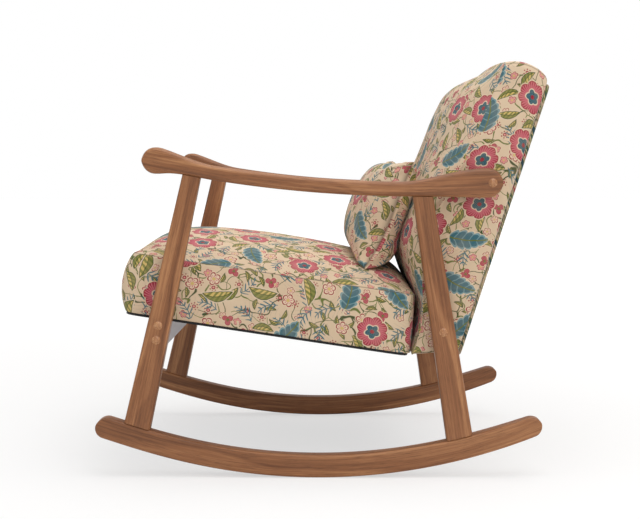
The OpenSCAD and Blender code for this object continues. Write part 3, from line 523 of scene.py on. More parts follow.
@dataclass(frozen=True)
class LinenFinish:
    """Cream linen printed with scattered flowers, leaves and stems. Sizes are in millimetres.

    A method that draws a motif gives the distance from its edge, below 0 inside, and its colour.
    """

    name: str = "printed_linen"
    ground: Colour = ink(214, 186, 154)
    pale: Colour = ink(230, 208, 178)
    teal: Colour = ink(64, 112, 124)
    mist: Colour = ink(128, 164, 168)
    deep: Colour = ink(34, 66, 76)
    olive: Colour = ink(104, 116, 54)
    moss: Colour = ink(58, 74, 38)
    crimson: Colour = ink(156, 38, 54)
    rose: Colour = ink(204, 104, 116)
    blush: Colour = ink(226, 160, 150)
    straw: Colour = ink(214, 186, 110)
    thread: float = 0.9
    ink_run: float = 3.2
    print_blur: float = 0.8
    halo_blur: float = 1.6

    def cell(self, recipe: Recipe, u: Signal, v: Signal, over: Field) -> Spot:
        """Lay a field of cells over the cloth, each with its own place and turn for one motif.

        Args:
            recipe: the material.
            u: place across the cloth.
            v: place along the cloth.
            over: the field.

        Returns:
            The place in the axes of the cell's motif.
        """
        across = (u * math.cos(over.slant) + v * math.sin(over.slant)) / over.size
        along = (v * math.cos(over.slant) - u * math.sin(over.slant)) / over.size
        row = along.op("FLOOR")
        shifted = across + row.op("PINGPONG", 1.0) * 0.5
        column = shifted.op("FLOOR")
        chance = recipe.node("ShaderNodeTexWhiteNoise", in_Vector=recipe.join(column, row, over.seed))
        first, second, third = recipe.split(chance.outputs["Color"])
        x = (shifted - column - 0.5 - (first - 0.5) * over.play) * over.size
        y = (along - row - 0.5 - (second - 0.5) * over.play) * over.size
        cos, sin = (third * TURN).cosine(), (third * TURN).sine()
        pick = recipe.signal(chance.outputs["Value"])
        return Spot(recipe, x * cos + y * sin, y * cos - x * sin, pick, first)

    def bloom(self, spot: Spot, reach: float) -> Drawn:
        """Draw a bloom of that radius: eight scalloped petals with fine stripes, and a netted heart.

        Args:
            spot: where the cloth stands in the motif's axes.
            reach: radius of the petals.

        Returns:
            The distance from its edge, and its colour.
        """
        mix, x, y = spot.recipe.mix, spot.x, spot.y
        r, angle = spot.polar()
        edge = r - (abs((angle * 4.0).sine()).root() * (reach * 0.2) + reach * 0.8)
        stripes = (angle * 34.0 + r * 0.35).sine().above(0.15)
        outward = (r - reach * 0.45).op("DIVIDE", reach * 0.4, clamp=True)
        petals = mix(stripes * outward, self.rose, self.crimson)
        petals = mix(1.0 - (edge + 1.6).inside(0.8), petals, self.crimson)
        heart_edge = r - (abs((angle * 2.5 + 0.6).sine()) * (reach * 0.14) + reach * 0.36)
        net = ((x * 1.35 + y * 0.4).sine() * (y * 1.5 - x * 0.5).sine()).above(0.12)
        colour = mix(heart_edge.inside(0.7), petals, mix(net, self.teal, self.deep))
        colour = mix((abs(heart_edge + 0.2) - 1.1).inside(0.7), colour, self.pale)
        return edge, mix((r - reach * 0.13).inside(0.8), colour, self.crimson)

    def lobed_leaf(self, spot: Spot, reach: float) -> Drawn:
        """Draw a broad leaf of that half length, whose outline swells into lobes between its veins.

        Args:
            spot: where the cloth stands in the motif's axes.
            reach: half of the leaf's length.

        Returns:
            The distance from its edge, and its colour.
        """
        mix, x, y = spot.recipe.mix, spot.x, spot.y
        side, t = abs(x + (y * y) * (0.16 / reach)), y / reach
        ribs = abs(((y - side * 0.62) * (2.6 * math.pi / reach)).sine())
        lobes = ribs.root() * (reach * 0.16) + reach * 0.36
        edge = side - (1.0 - t * t).root() * (1.0 - t * 0.28) * lobes
        colour = mix((edge + reach * 0.1).inside(0.9), self.mist, self.teal)
        colour = mix((ribs - 0.26).inside(0.16) * 0.75, colour, self.mist)
        hatch = ((y + side * 1.8) * 2.1).sine().above(0.55)
        colour = mix(hatch * 0.4, colour, self.deep)
        return edge, mix((side - reach * 0.035).inside(0.6), colour, self.olive)

    def folded_leaf(self, spot: Spot, reach: float) -> Drawn:
        """Draw a narrow green leaf of that half length, with a dark outline and stripes on one half.

        Args:
            spot: where the cloth stands in the motif's axes.
            reach: half of the leaf's length.

        Returns:
            The distance from its edge, and its colour.
        """
        mix, y = spot.recipe.mix, spot.y
        bend, t = spot.x + (y * y) * (0.3 / reach) - reach * 0.1, y / reach
        edge = abs(bend) - (1.0 - t * t) * (reach * 0.36)
        stripes = ((y + bend * 0.9) * (5.5 * math.pi / reach)).sine().above(0.0)
        colour = mix(stripes * 0.8, self.straw, self.olive)
        colour = mix(bend.above(0.0) * 0.75, colour, self.olive)
        colour = mix(1.0 - (edge + 1.3).inside(0.7), colour, self.moss)
        return edge, mix((abs(bend) - 0.6).inside(0.5), colour, self.moss)

    def sprig(self, spot: Spot, reach: float) -> Drawn:
        """Draw a stem of that half length, with slanting leaflets that shorten towards both ends.

        Args:
            spot: where the cloth stands in the motif's axes.
            reach: half of the stem's length.

        Returns:
            The distance from its edge, and its colour.
        """
        y = spot.y
        side, t = abs(spot.x + (y * y) * (0.35 / reach)), y / reach
        step = reach * 0.4
        slid = (y - side * 0.85) / step
        near = (slid - slid.op("ROUND")) * step
        length = (1.0 - t * t).op("MAXIMUM", 0.0) * (reach * 0.52)
        bulge = 1.0 - side / (length + 0.4)
        leaflet = abs(near) - (bulge * (side + 1.5)).root() * 0.85
        edge = leaflet.op("MINIMUM", side - 0.9).op("MAXIMUM", abs(y) - reach)
        return edge, spot.recipe.mix(spot.shade.above(0.45), self.teal, self.olive)

    def berries(self, spot: Spot, reach: float) -> Drawn:
        """Draw three berries within that radius, netted in a darker red, with a small leafy cap.

        Args:
            spot: where the cloth stands in the motif's axes.
            reach: how far out the berries lie.

        Returns:
            The distance from its edge, and its colour.
        """
        mix, x, y = spot.recipe.mix, spot.x, spot.y
        r, angle = spot.polar()
        edge = spot.to_ring(3, reach * 0.5) - reach * 0.46
        net = ((x * 2.2 + y).sine() * (y * 2.2 - x).sine()).above(0.0)
        colour = mix(net, self.rose, self.crimson)
        colour = mix(1.0 - (edge + 0.9).inside(0.5), colour, self.crimson)
        cap = r - (abs((angle * 1.5).sine()) * -0.22 + 0.34) * reach
        return edge.op("MINIMUM", cap), mix(cap.inside(0.5), colour, self.olive)

    def starlet(self, spot: Spot, reach: float) -> Drawn:
        """Draw a flower of that radius, with five petals, a red outline and a straw middle.

        Args:
            spot: where the cloth stands in the motif's axes.
            reach: radius of the petals.

        Returns:
            The distance from its edge, and its colour.
        """
        mix = spot.recipe.mix
        r, angle = spot.polar()
        edge = r - (abs((angle * 2.5).cosine()).root() * (reach * 0.42) + reach * 0.58)
        fill = mix(spot.shade.above(0.5), self.blush, self.pale)
        colour = mix(1.0 - (edge + reach * 0.17).inside(0.6), fill, self.crimson)
        rays = (angle * 10.0).sine().above(0.4) * (r - reach * 0.6).inside(0.8)
        colour = mix(rays, colour, self.rose)
        return edge, mix((r - reach * 0.24).inside(0.6), colour, self.straw)

    def buds(self, spot: Spot, reach: float) -> Drawn:
        """Draw a crimson bud in a ring of dots of that radius.

        Args:
            spot: where the cloth stands in the motif's axes.
            reach: radius of the ring.

        Returns:
            The distance from its edge, and its colour.
        """
        r, _ = spot.polar()
        dots = spot.to_ring(7, reach * 0.78) - reach * 0.15
        colour = spot.recipe.mix((r - reach * 0.2).inside(0.5), self.crimson, self.blush)
        return dots.op("MINIMUM", r - reach * 0.42), colour

    def stems(self, recipe: Recipe, u: Signal, v: Signal, size: float, seed: float) -> Signal:
        """Run bent stems over the cloth.

        Args:
            recipe: the material.
            u: place across the cloth.
            v: place along the cloth.
            size: spacing of the stems.
            seed: number that sets this run apart.

        Returns:
            1 on a stem.
        """
        sx, sy = recipe.sway(recipe.join(u / size, v / size, seed), 1.3, 1.0)
        bent = recipe.join(u / size + sx * 1.7, v / size + sy * 1.7, seed)
        lines = recipe.node(
            "ShaderNodeTexVoronoi", feature="DISTANCE_TO_EDGE", voronoi_dimensions="2D", in_Vector=bent,
            in_Scale=1.0,
        )
        gap = recipe.noise(recipe.join(u / size, v / size, seed + 7.0), 0.9, 0.0)
        thin = recipe.signal(lines.outputs["Distance"]) * size - 1.3
        return thin.inside(0.9) * gap.above(0.38)

    def scattered(self, recipe: Recipe, u: Signal, v: Signal, colour: Socket) -> Socket:
        """Print every field of motifs over a colour, some of them inside a paler halo.

        Args:
            recipe: the material.
            u: place across the cloth.
            v: place along the cloth.
            colour: the colour so far.

        Returns:
            The colour with the motifs on it.
        """
        draw = {
            Motif.BLOOM: self.bloom, Motif.LOBED_LEAF: self.lobed_leaf, Motif.FOLDED_LEAF: self.folded_leaf,
            Motif.SPRIG: self.sprig, Motif.BERRIES: self.berries, Motif.STARLET: self.starlet,
            Motif.BUDS: self.buds,
        }
        for over in FIELDS:
            spot = self.cell(recipe, u, v, over)
            for item in over.motifs:
                edge, drawn = draw[item.motif](spot, item.reach)
                shown = spot.pick.op("LESS_THAN", item.high)
                if item.low > 0:
                    shown = spot.pick.above(item.low) * shown
                if item.halo > 0:
                    colour = recipe.mix((edge - item.halo).inside(self.halo_blur) * shown, colour, self.pale)
                colour = recipe.mix(edge.inside(self.print_blur) * shown, colour, drawn)
            LOG.info("cells of %g mm hold %s", over.size, ", ".join(item.motif.value for item in over.motifs))
        return colour

    def material(self) -> Material:
        """Build the cloth from its ground up: stems, motifs, faded print, weave and painted shade along the
        seams.

        Returns:
            The material.
        """
        recipe = Recipe(self.name)
        cloth = recipe.node("ShaderNodeUVMap", uv_map="cloth").outputs[0]
        metres_u, metres_v, _ = recipe.split(cloth)
        fine_u, fine_v = metres_u / MM, metres_v / MM
        wx, wy = recipe.sway(cloth, 95.0, 2.0)
        u, v = fine_u + wx * self.ink_run, fine_v + wy * self.ink_run

        colour = recipe.mix(recipe.noise(cloth, 7.0, 3.0), self.ground, self.pale)
        colour = recipe.mix(self.stems(recipe, u, v, 62.0, 1.0), colour, self.olive)
        colour = recipe.mix(self.stems(recipe, u, v, 88.0, 5.0), colour, self.moss)
        colour = self.scattered(recipe, u, v, colour)

        faded = recipe.noise(cloth, 38.0, 4.0)
        colour = recipe.mix((faded - 0.35).op("MULTIPLY", 0.5, clamp=True), colour, self.ground)
        threads = TURN / self.thread
        warp, weft = (fine_u * threads).sine() * 0.5 + 0.5, (fine_v * threads).sine() * 0.5 + 0.5
        slub = recipe.noise(recipe.join(metres_u * 900.0, metres_v * 90.0), 1.0)
        weave = warp * 0.35 + weft * 0.35 + slub * 0.5
        colour = recipe.mix(weave * 0.16, colour, (0.30, 0.22, 0.15, 1.0), "MULTIPLY")
        # Painted shade: the cloth goes towards near black along the seams, standing in for the shade in their
        # grooves.
        seam = recipe.signal(recipe.node("ShaderNodeAttribute", attribute_name="seam").outputs["Fac"])
        colour = recipe.mix(seam.op("POWER", 2.0) * 0.7, colour, (0.10, 0.06, 0.04, 1.0))
        gloss = {"Sheen_Weight": 0.12, "Sheen_Roughness": 0.5, "Specular_IOR_Level": 0.25}
        return recipe.finish(colour, 0.88, weave, 0.22, **gloss)


WOOD = WoodFinish("oiled_wood", ink(94, 55, 31), ink(143, 92, 56), ink(184, 130, 86), ink(58, 33, 19))
# The plugs are a lighter tone than the frame's wood, which paints the highlight on their domed heads.
PAINTED_HIGHLIGHT_PLUG_WOOD = WoodFinish(
    "plug_wood", ink(122, 78, 50), ink(168, 116, 77), ink(200, 150, 106), ink(74, 45, 28), "", 0.26
)
TIMBER = WoodFinish(
    "frame_timber", ink(172, 140, 100), ink(198, 168, 126), ink(214, 188, 148), ink(140, 108, 72), "", 0.6
)
PALE_PAINT = PaintFinish("pale_paint", ink(212, 202, 204), 0.38)
STEEL = PaintFinish("plated_steel", ink(176, 178, 182), 0.3, 1.0)
DUST_CLOTH = ClothFinish("dust_cloth", ink(22, 21, 21), 1.6 * MM)
LINEN = LinenFinish()
CORD = CordFinish(
    "linen_cord", (LINEN.crimson, LINEN.ground, LINEN.moss, LINEN.ground, LINEN.olive, LINEN.deep)
)


# Meshes


def new_piece(name: str, points: np.ndarray, faces: Sequence[Sequence[int]], outward: bool = False) -> Piece:
    """Make a smooth mesh object in the scene.

    Args:
        name: the piece's name.
        points: corners, in metres.
        faces: rows of corner numbers.
        outward: whether its normals are worked out afresh.

    Returns:
        The object.
    """
    mesh = bpy.data.meshes.new(name)
    mesh.from_pydata([tuple(map(float, p)) for p in points], [], [tuple(map(int, f)) for f in faces])
    mesh.update()
    piece = bpy.data.objects.new(name, mesh)
    bpy.context.scene.collection.objects.link(piece)
    if outward:
        turn_outward(piece)
    mesh.polygons.foreach_set("use_smooth", [True] * len(mesh.polygons))
    return piece


def turn_outward(piece: Piece) -> None:
    """Turn a closed mesh's faces outward.

    Args:
        piece: the mesh object.
    """
    work = bmesh.new()
    work.from_mesh(piece.data)
    bmesh.ops.recalc_face_normals(work, faces=work.faces)
    work.to_mesh(piece.data)
    work.free()


def store(piece: Piece, name: str, values: np.ndarray) -> None:
    """Keep a number or a vector for each point of a mesh.

    Args:
        piece: the object.
        name: the attribute's name.
        values: one row for each point.
    """
    kind, key = ("FLOAT", "value") if values.ndim == 1 else ("FLOAT_VECTOR", "vector")
    attribute = piece.data.attributes.new(name, kind, "POINT")
    attribute.data.foreach_set(key, values.astype(np.float32).ravel())


def stored(piece: Piece, name: str) -> np.ndarray:
    """Read the numbers kept under a name for each point of a mesh.

    Args:
        piece: the mesh object.
        name: the attribute's name.

    Returns:
        One number for each point.
    """
    values = np.zeros(len(piece.data.vertices), np.float32)
    piece.data.attributes[name].data.foreach_get("value", values)
    return values


def vectors(rows: bpy.types.bpy_prop_collection, key: str) -> np.ndarray:
    """Read a vector from each row of a mesh's data.

    Args:
        rows: the points or the normals.
        key: name of the vector.

    Returns:
        One vector for each row.
    """
    flat = np.zeros(len(rows) * 3, np.float32)
    rows.foreach_get(key, flat)
    return flat.reshape(-1, 3).astype(float)


def places(piece: Piece) -> np.ndarray:
    """Read a mesh's points as an array."""
    return vectors(piece.data.vertices, "co")


def directions(piece: Piece) -> np.ndarray:
    """Read the outward direction at each point of a mesh."""
    return vectors(piece.data.vertex_normals, "vector")


def move_points(piece: Piece, points: np.ndarray) -> None:
    """Write a mesh's points back."""
    piece.data.vertices.foreach_set("co", points.astype(np.float32).ravel())
    piece.data.update()


def dress(piece: Piece, material: Material) -> None:
    """Give a piece one material."""
    piece.data.materials.clear()
    piece.data.materials.append(material)


def applied(piece: Piece) -> None:
    """Turn a piece's modifiers into its mesh.

    Args:
        piece: the mesh object.
    """
    view = bpy.context.evaluated_depsgraph_get()
    shown = piece.evaluated_get(view)
    mesh = bpy.data.meshes.new_from_object(shown, preserve_all_data_layers=True, depsgraph=view)
    piece.modifiers.clear()
    old = piece.data
    piece.data = mesh
    mesh.name = piece.name
    bpy.data.meshes.remove(old)


def subdivided(piece: Piece, levels: int) -> None:
    """Round a mesh off with subdivision and keep the result.

    Args:
        piece: the mesh object.
        levels: how often it is divided.
    """
    modifier = piece.modifiers.new("rounding", "SUBSURF")
    modifier.levels = levels
    modifier.render_levels = levels
    modifier.boundary_smooth = "PRESERVE_CORNERS"
    applied(piece)


def rounded_box(half_x: float, half_y: float, radius: float, steps: int = 5) -> np.ndarray:
    """Outline of a box with round corners, with points that hold its flats flat.

    Args:
        half_x: half of its width.
        half_y: half of its height.
        radius: radius of its corners.
        steps: steps round a corner.

    Returns:
        Points, counter-clockwise.
    """
    points = []
    straight_x, straight_y = half_x - radius, half_y - radius
    for quarter, (sx, sy) in enumerate(((1, 1), (-1, 1), (-1, -1), (1, -1))):
        for k in range(steps + 1):
            angle = math.pi / 2 * (quarter + k / steps)
            x, y = radius * math.cos(angle), radius * math.sin(angle)
            points.append((sx * straight_x + x, sy * straight_y + y))
        flat_x, flat_y = straight_x * 0.8, straight_y * 0.8
        if quarter % 2 == 0:
            points += [(sx * flat_x, sy * half_y), (-sx * flat_x, sy * half_y)]
        else:
            points += [(sx * half_x, sy * flat_y), (sx * half_x, -sy * flat_y)]
    return np.array(points)


def bar(name: str, rings: np.ndarray, tips: np.ndarray, grain: np.ndarray) -> Piece:
    """Skin a wooden bar over its rings.

    Args:
        name: the piece's name.
        rings: stations by points by 3, in metres.
        tips: the middle of each end.
        grain: the grain's own place of each ring point, the same shape as rings.

    Returns:
        The bar, with its grain stored on it.
    """
    m, n = rings.shape[:2]
    faces = []
    for i in range(m - 1):
        for k in range(n):
            faces.append((i * n + k, i * n + (k + 1) % n, (i + 1) * n + (k + 1) % n, (i + 1) * n + k))
    faces += [((k + 1) % n, k, m * n) for k in range(n)]
    faces += [((m - 1) * n + k, (m - 1) * n + (k + 1) % n, m * n + 1) for k in range(n)]
    piece = new_piece(name, np.vstack([rings.reshape(-1, 3), tips]), faces, outward=True)
    ends = np.array([grain[0].mean(0), grain[-1].mean(0)])
    store(piece, "grain", np.vstack([grain.reshape(-1, 3), ends]))
    return piece


def grid_cells(n: int) -> list[list[int]]:
    """Corners of each cell of a grid with n cells a side, and of a second grid's below it, reversed.

    Args:
        n: cells a side.

    Returns:
        A cell of the first grid and its twin by turns.
    """
    cells = []
    for i in range(n):
        for j in range(n):
            first, next_row = i * (n + 1) + j, (i + 1) * (n + 1) + j
            corners = [first, next_row, next_row + 1, first + 1]
            cells += [corners, [(n + 1) ** 2 + corner for corner in reversed(corners)]]
    return cells


def grid_rim(n: int) -> np.ndarray:
    """Row and column of each rim point of a grid with n cells a side, once round.

    Args:
        n: cells a side.

    Returns:
        One row for each rim point.
    """
    up, down = range(n), range(n, 0, -1)
    there = [(i, 0) for i in up] + [(n, j) for j in up]
    return np.array(there + [(i, n) for i in down] + [(0, j) for j in down])


# Geometry trees


class ShapeTree(NodeWork):
    """A Geometry Nodes tree with named inputs for its sizes."""

    def __init__(self, name: str, **inputs: str) -> None:
        """Start a tree.

        Args:
            name: the tree's name.
            inputs: socket type of each input, with its name's spaces as underscores.
        """
        super().__init__(bpy.data.node_groups.new(name, "GeometryNodeTree"))
        self.keys: dict[str, str] = {}
        face = self.tree.interface
        for key, kind in {**inputs, "Finish": "Material"}.items():
            socket = face.new_socket(key.replace("_", " "), in_out="INPUT", socket_type=f"NodeSocket{kind}")
            self.keys[key] = socket.identifier
        face.new_socket("Piece", in_out="OUTPUT", socket_type="NodeSocketGeometry")
        self.start = self.node("NodeGroupInput")

    def size(self, key: str) -> Signal:
        """Read an input for arithmetic."""
        return self.signal(self.start.outputs[key.replace("_", " ")])

    def kept(self, curve: Socket, kind: str, value: Socket) -> tuple[Socket, Socket]:
        """Keep a value on a curve's points.

        Args:
            curve: the curve.
            kind: the value's type.
            value: what is kept.

        Returns:
            The curve, and the value as it stays on whatever is made of the curve.
        """
        node = self.node("GeometryNodeCaptureAttribute")
        node.capture_items.new(kind, "kept")
        self.plug(node.inputs[0], curve)
        self.plug(node.inputs[1], value)
        return node.outputs[0], node.outputs[1]

    def close(self, shape: Socket) -> None:
        """Smooth the shape, make it real, give it its finish and send it out.

        Args:
            shape: the finished geometry.
        """
        smooth = self.node("GeometryNodeSetShadeSmooth", in_Geometry=shape)
        real = self.node("GeometryNodeRealizeInstances", in_Geometry=smooth.outputs[0])
        finish = self.start.outputs["Finish"]
        painted = self.node("GeometryNodeSetMaterial", in_Geometry=real.outputs[0], in_Material=finish)
        self.plug(self.node("NodeGroupOutput").inputs[0], painted.outputs[0])

    def run(self, name: str, mesh: bpy.types.Mesh | None = None, **values: object) -> Piece:
        """Make a piece with the tree.

        Args:
            name: the piece's name.
            mesh: what the tree starts from, if anything.
            values: the inputs, with their names' spaces as underscores.

        Returns:
            The piece, as a plain mesh.
        """
        piece = bpy.data.objects.new(name, mesh or bpy.data.meshes.new(name))
        bpy.context.scene.collection.objects.link(piece)
        modifier = piece.modifiers.new(self.tree.name, "NODES")
        modifier.node_group = self.tree
        for key, value in values.items():
            modifier[self.keys[key]] = value
        applied(piece)
        return piece


class RunnerTree(ShapeTree):
    """Geometry Nodes that bend a bar with round tips into the arc of a runner."""

    def __init__(self) -> None:
        """Build the tree: a section swept straight, rounded at both tips, and laid on its circle."""
        sizes = "Radius Depth Thickness Edge Half_Length Swell Tail Droop Middle_X Low_Y Grain_Shift".split()
        super().__init__("runner", **{size: "Float" for size in sizes}, Stations="Int")
        width, depth = self.size("Thickness"), self.size("Depth")
        section = self.node("GeometryNodeCurvePrimitiveQuadrilateral", in_Width=width, in_Height=depth)
        rounded = self.node(
            "GeometryNodeFilletCurve", mode="POLY", in_Curve=section.outputs[0], in_Count=4,
            in_Radius=self.size("Edge"),
        )
        fine = self.node("GeometryNodeSubdivideCurve", in_Curve=rounded.outputs[0], in_Cuts=2)
        position = self.node("GeometryNodeInputPosition").outputs[0]
        outline, spot = self.kept(fine.outputs[0], "VECTOR", position)
        line = self.node("GeometryNodeCurvePrimitiveLine").outputs[0]
        stations = self.node("GeometryNodeResampleCurve", in_Curve=line, in_Count=self.size("Stations"))
        factor = self.node("GeometryNodeSplineParameter").outputs["Factor"]
        path, share = self.kept(stations.outputs[0], "FLOAT", factor)
        swept = self.node(
            "GeometryNodeCurveToMesh", in_Curve=path, in_Profile_Curve=outline, in_Fill_Caps=True
        )
        half, reach, radius = depth * 0.5, self.size("Half_Length"), self.size("Radius")
        x, rise, _ = self.split(spot)
        run = (self.signal(share) * math.pi).cosine() * reach * -1.0
        over = ((abs(run) - (reach - half)) / half).op("MAXIMUM", 0.0)
        u = run / reach
        behind, ahead = u.op("MAXIMUM", 0.0), (u * -1.0).op("MAXIMUM", 0.0)
        deeper = self.size("Swell") * (1.0 - u * u) - self.size("Tail") * behind.op("POWER", 6.0)
        rise = rise * (1.0 - over * over).op("MAXIMUM", 0.004).root() * (rise.above(0.0) * deeper + 1.0)
        middle = radius - half
        angle, arm = run / middle, middle - rise
        droop = self.size("Droop") * ahead.op("POWER", 8.0)
        rearward, upward = arm * angle.sine() + self.size("Low_Y"), radius - arm * angle.cosine() - droop
        bent = self.join(x + self.size("Middle_X"), rearward, upward)
        laid = self.node("GeometryNodeSetPosition", in_Geometry=swept.outputs[0], in_Position=bent)
        own = self.join(run, rise, x + self.size("Grain_Shift"))
        grain = self.node(
            "GeometryNodeStoreNamedAttribute", data_type="FLOAT_VECTOR", domain="POINT",
            in_Geometry=laid.outputs[0], in_Name="grain", in_Value=own,
        )
        self.close(grain.outputs[0])


class PipingTree(ShapeTree):
    """Geometry Nodes that run a covered cord along a closed line."""

    def __init__(self) -> None:
        """Build the tree: a curve given a round section, with its length kept as its cloth's place."""
        super().__init__("piping", Line="Geometry", Radius="Float", Sides="Int")
        curve = self.node("GeometryNodeMeshToCurve", in_Mesh=self.start.outputs["Line"])
        radius, sides = self.size("Radius"), self.size("Sides")
        section = self.node("GeometryNodeCurvePrimitiveCircle", in_Radius=radius, in_Resolution=sides)
        place = self.node("GeometryNodeSplineParameter").outputs["Length"]
        path, run = self.kept(curve.outputs[0], "FLOAT", place)
        outline, turn = self.kept(section.outputs[0], "FLOAT", place)
        cord = self.node("GeometryNodeCurveToMesh", in_Curve=path, in_Profile_Curve=outline)
        cloth = self.node(
            "GeometryNodeStoreNamedAttribute", data_type="FLOAT2", domain="CORNER",
            in_Geometry=cord.outputs[0], in_Name="cloth", in_Value=self.join(run, turn),
        )
        self.close(cloth.outputs[0])

    def along(self, name: str, path: np.ndarray, radius: float, cloth: Material) -> Piece:
        """Run a cord along a closed path.

        Args:
            name: the piece's name.
            path: places along it, in metres.
            radius: the cord's radius.
            cloth: its finish.

        Returns:
            The cord, as a plain mesh.
        """
        mesh = bpy.data.meshes.new(name)
        edges = [(k, (k + 1) % len(path)) for k in range(len(path))]
        mesh.from_pydata([tuple(map(float, p)) for p in path], edges, [])
        return self.run(name, mesh, Radius=radius, Sides=14, Finish=cloth)


# Wooden side frames


class Side(Enum):
    """The chair's two sides, each with the sign of its X."""

    LEFT = 1
    RIGHT = -1


@dataclass
class SideFrame:
    """One side: a curved runner, two legs and an armrest. Sizes are in millimetres.

    A leg's end is its middle along Y and its width. A bulb of the armrest is its middle along Y, its height
    above arm_height and its radius. The blends are how far the front bulb reaches back, where it is full, and
    how far the rear bulb reaches forward.
    """

    side: Side
    inner_x: float = 280.0
    thickness: float = 30.0
    edge_round: float = 5.0
    runner_radius: float = 1130.0
    runner_depth: float = 42.0
    runner_reach: float = 431.0
    runner_swell: float = 0.09
    runner_tail: float = 0.24
    runner_droop: float = 5.0
    low_y: float = -6.0
    front_top: Pair = (-248.0, 35.0)
    front_foot: Pair = (-356.6, 52.2)
    rear_top: Pair = (193.0, 38.0)
    rear_foot: Pair = (266.6, 51.2)
    arm_height: float = 543.0
    arm_width: float = 34.0
    arm_depth: float = 28.0
    arm_edge: float = 9.0
    arm_radius: float = 2400.0
    arm_low_y: float = 177.0
    arm_front: Triple = (-316.0, 68.0, 25.0)
    arm_rear: Triple = (316.25, 25.7, 28.0)
    arm_blends: Triple = (112.0, 8.0, 170.0)

    def name(self, part: str) -> str:
        """Name of a part with its side."""
        return f"{self.side.name.lower()}_{part}"

    def arm_bow(self, y: np.ndarray) -> np.ndarray:
        """Height of the underside of the armrest's bow along Y."""
        return self.arm_height + (y - self.arm_low_y) ** 2 / (2 * self.arm_radius)

    def arm_shares(self, y: np.ndarray) -> tuple[np.ndarray, np.ndarray]:
        """How far the armrest has turned into each bulb along Y.

        Args:
            y: places along Y.

        Returns:
            Shares of the front and of the rear bulb.
        """
        blend_front, ahead, blend_rear = self.arm_blends
        front = np.clip((self.arm_front[0] + blend_front - y) / (blend_front - ahead), 0, 1) ** 2
        t = np.clip((y - self.arm_rear[0] + blend_rear) / blend_rear, 0, 1)
        return front, t * t * (3 - 2 * t)

    def arm_half(self, y: np.ndarray) -> np.ndarray:
        """Half of the armrest's depth along Y, falling to 0 round both bulbs.

        Args:
            y: places along Y.

        Returns:
            Half of the depth at each place.
        """
        (front_y, _, front_r), (rear_y, _, rear_r) = self.arm_front, self.arm_rear
        front, rear = self.arm_shares(y)
        band = (self.arm_depth / 2) * (1 - front) + front_r * front
        band = band * (1 - rear) + rear_r * rear
        band = np.where(y < front_y, np.sqrt(np.maximum(0, front_r**2 - (y - front_y) ** 2)), band)
        return np.where(y > rear_y, np.sqrt(np.maximum(0, rear_r**2 - (y - rear_y) ** 2)), band)

    def arm_middle(self, y: np.ndarray) -> np.ndarray:
        """Height of the armrest's middle line along Y.

        Args:
            y: places along Y.

        Returns:
            The height at each place.
        """
        c = np.clip(y, self.arm_front[0], self.arm_rear[0])
        front, rear = self.arm_shares(c)
        bow = self.arm_bow(c) + self.arm_depth / 2
        line = bow * (1 - front) + (self.arm_height + self.arm_front[1]) * front
        return line * (1 - rear) + (self.arm_height + self.arm_rear[1]) * rear

    def runner_top(self, y: np.ndarray) -> np.ndarray:
        """Height of the runner's top edge along Y.

        Args:
            y: places along Y.

        Returns:
            The height at each place.
        """
        inner = self.runner_radius - self.runner_depth
        arc = self.runner_radius - np.sqrt(inner**2 - (y - self.low_y) ** 2)
        u = (y - self.low_y) / self.runner_reach
        deeper = self.runner_swell * (1 - u**2) - self.runner_tail * np.maximum(0, u) ** 6
        return arc + self.runner_depth / 2 * deeper - self.runner_droop * np.maximum(0, -u) ** 8

    def placed(self, x: np.ndarray, y: np.ndarray, z: np.ndarray) -> np.ndarray:
        """Put (outward, rearward, upward) places of this side in the row frame, in metres."""
        return np.stack([self.side.value * x, y, z], axis=-1) * MM

    def runner(self, tree: RunnerTree, wood: Material) -> Piece:
        """Bend the runner: a long arc with a round end at each tip.

        Args:
            tree: what bends it.
            wood: its finish.

        Returns:
            The runner.
        """
        half = self.runner_depth / 2
        middle_r = self.runner_radius - half
        piece = tree.run(
            self.name("runner_bar"),
            Radius=self.runner_radius * MM,
            Depth=self.runner_depth * MM,
            Thickness=self.thickness * MM,
            Edge=self.edge_round * MM,
            Half_Length=(middle_r * math.asin((self.runner_reach - half) / middle_r) + half) * MM,
            Swell=self.runner_swell,
            Tail=self.runner_tail,
            Droop=self.runner_droop * MM,
            Middle_X=self.side.value * (self.inner_x + self.thickness / 2) * MM,
            Low_Y=self.low_y * MM,
            Grain_Shift=0.3 * self.side.value,
            Stations=150,
            Finish=wood,
        )
        turn_outward(piece)
        return piece

    def leg(self, part: str, top: Pair, foot: Pair) -> Piece:
        """Taper a leg from its foot, coped to the runner, to its top, coped to the armrest.

        Args:
            part: the leg's name without its side.
            top: its end at the armrest.
            foot: its end at the runner.

        Returns:
            The leg.
        """
        top_z, foot_z = self.arm_bow(top[0]), float(self.runner_top(np.array(foot[0])))
        high = rounded_box(self.thickness / 2, top[1] / 2, self.edge_round)
        low = rounded_box(self.thickness / 2, foot[1] / 2, self.edge_round)

        def along(share: np.ndarray) -> tuple[np.ndarray, np.ndarray, np.ndarray]:
            """Place of each outline point at its share of the leg's height.

            Args:
                share: the shares, 0 at the foot.

            Returns:
                Their places across, along Y and up.
            """
            y = (foot[0] + low[:, 1]) * (1 - share) + (top[0] + high[:, 1]) * share
            x = low[:, 0] * (1 - share) + high[:, 0] * share
            return x, y, foot_z + (top_z - foot_z) * share

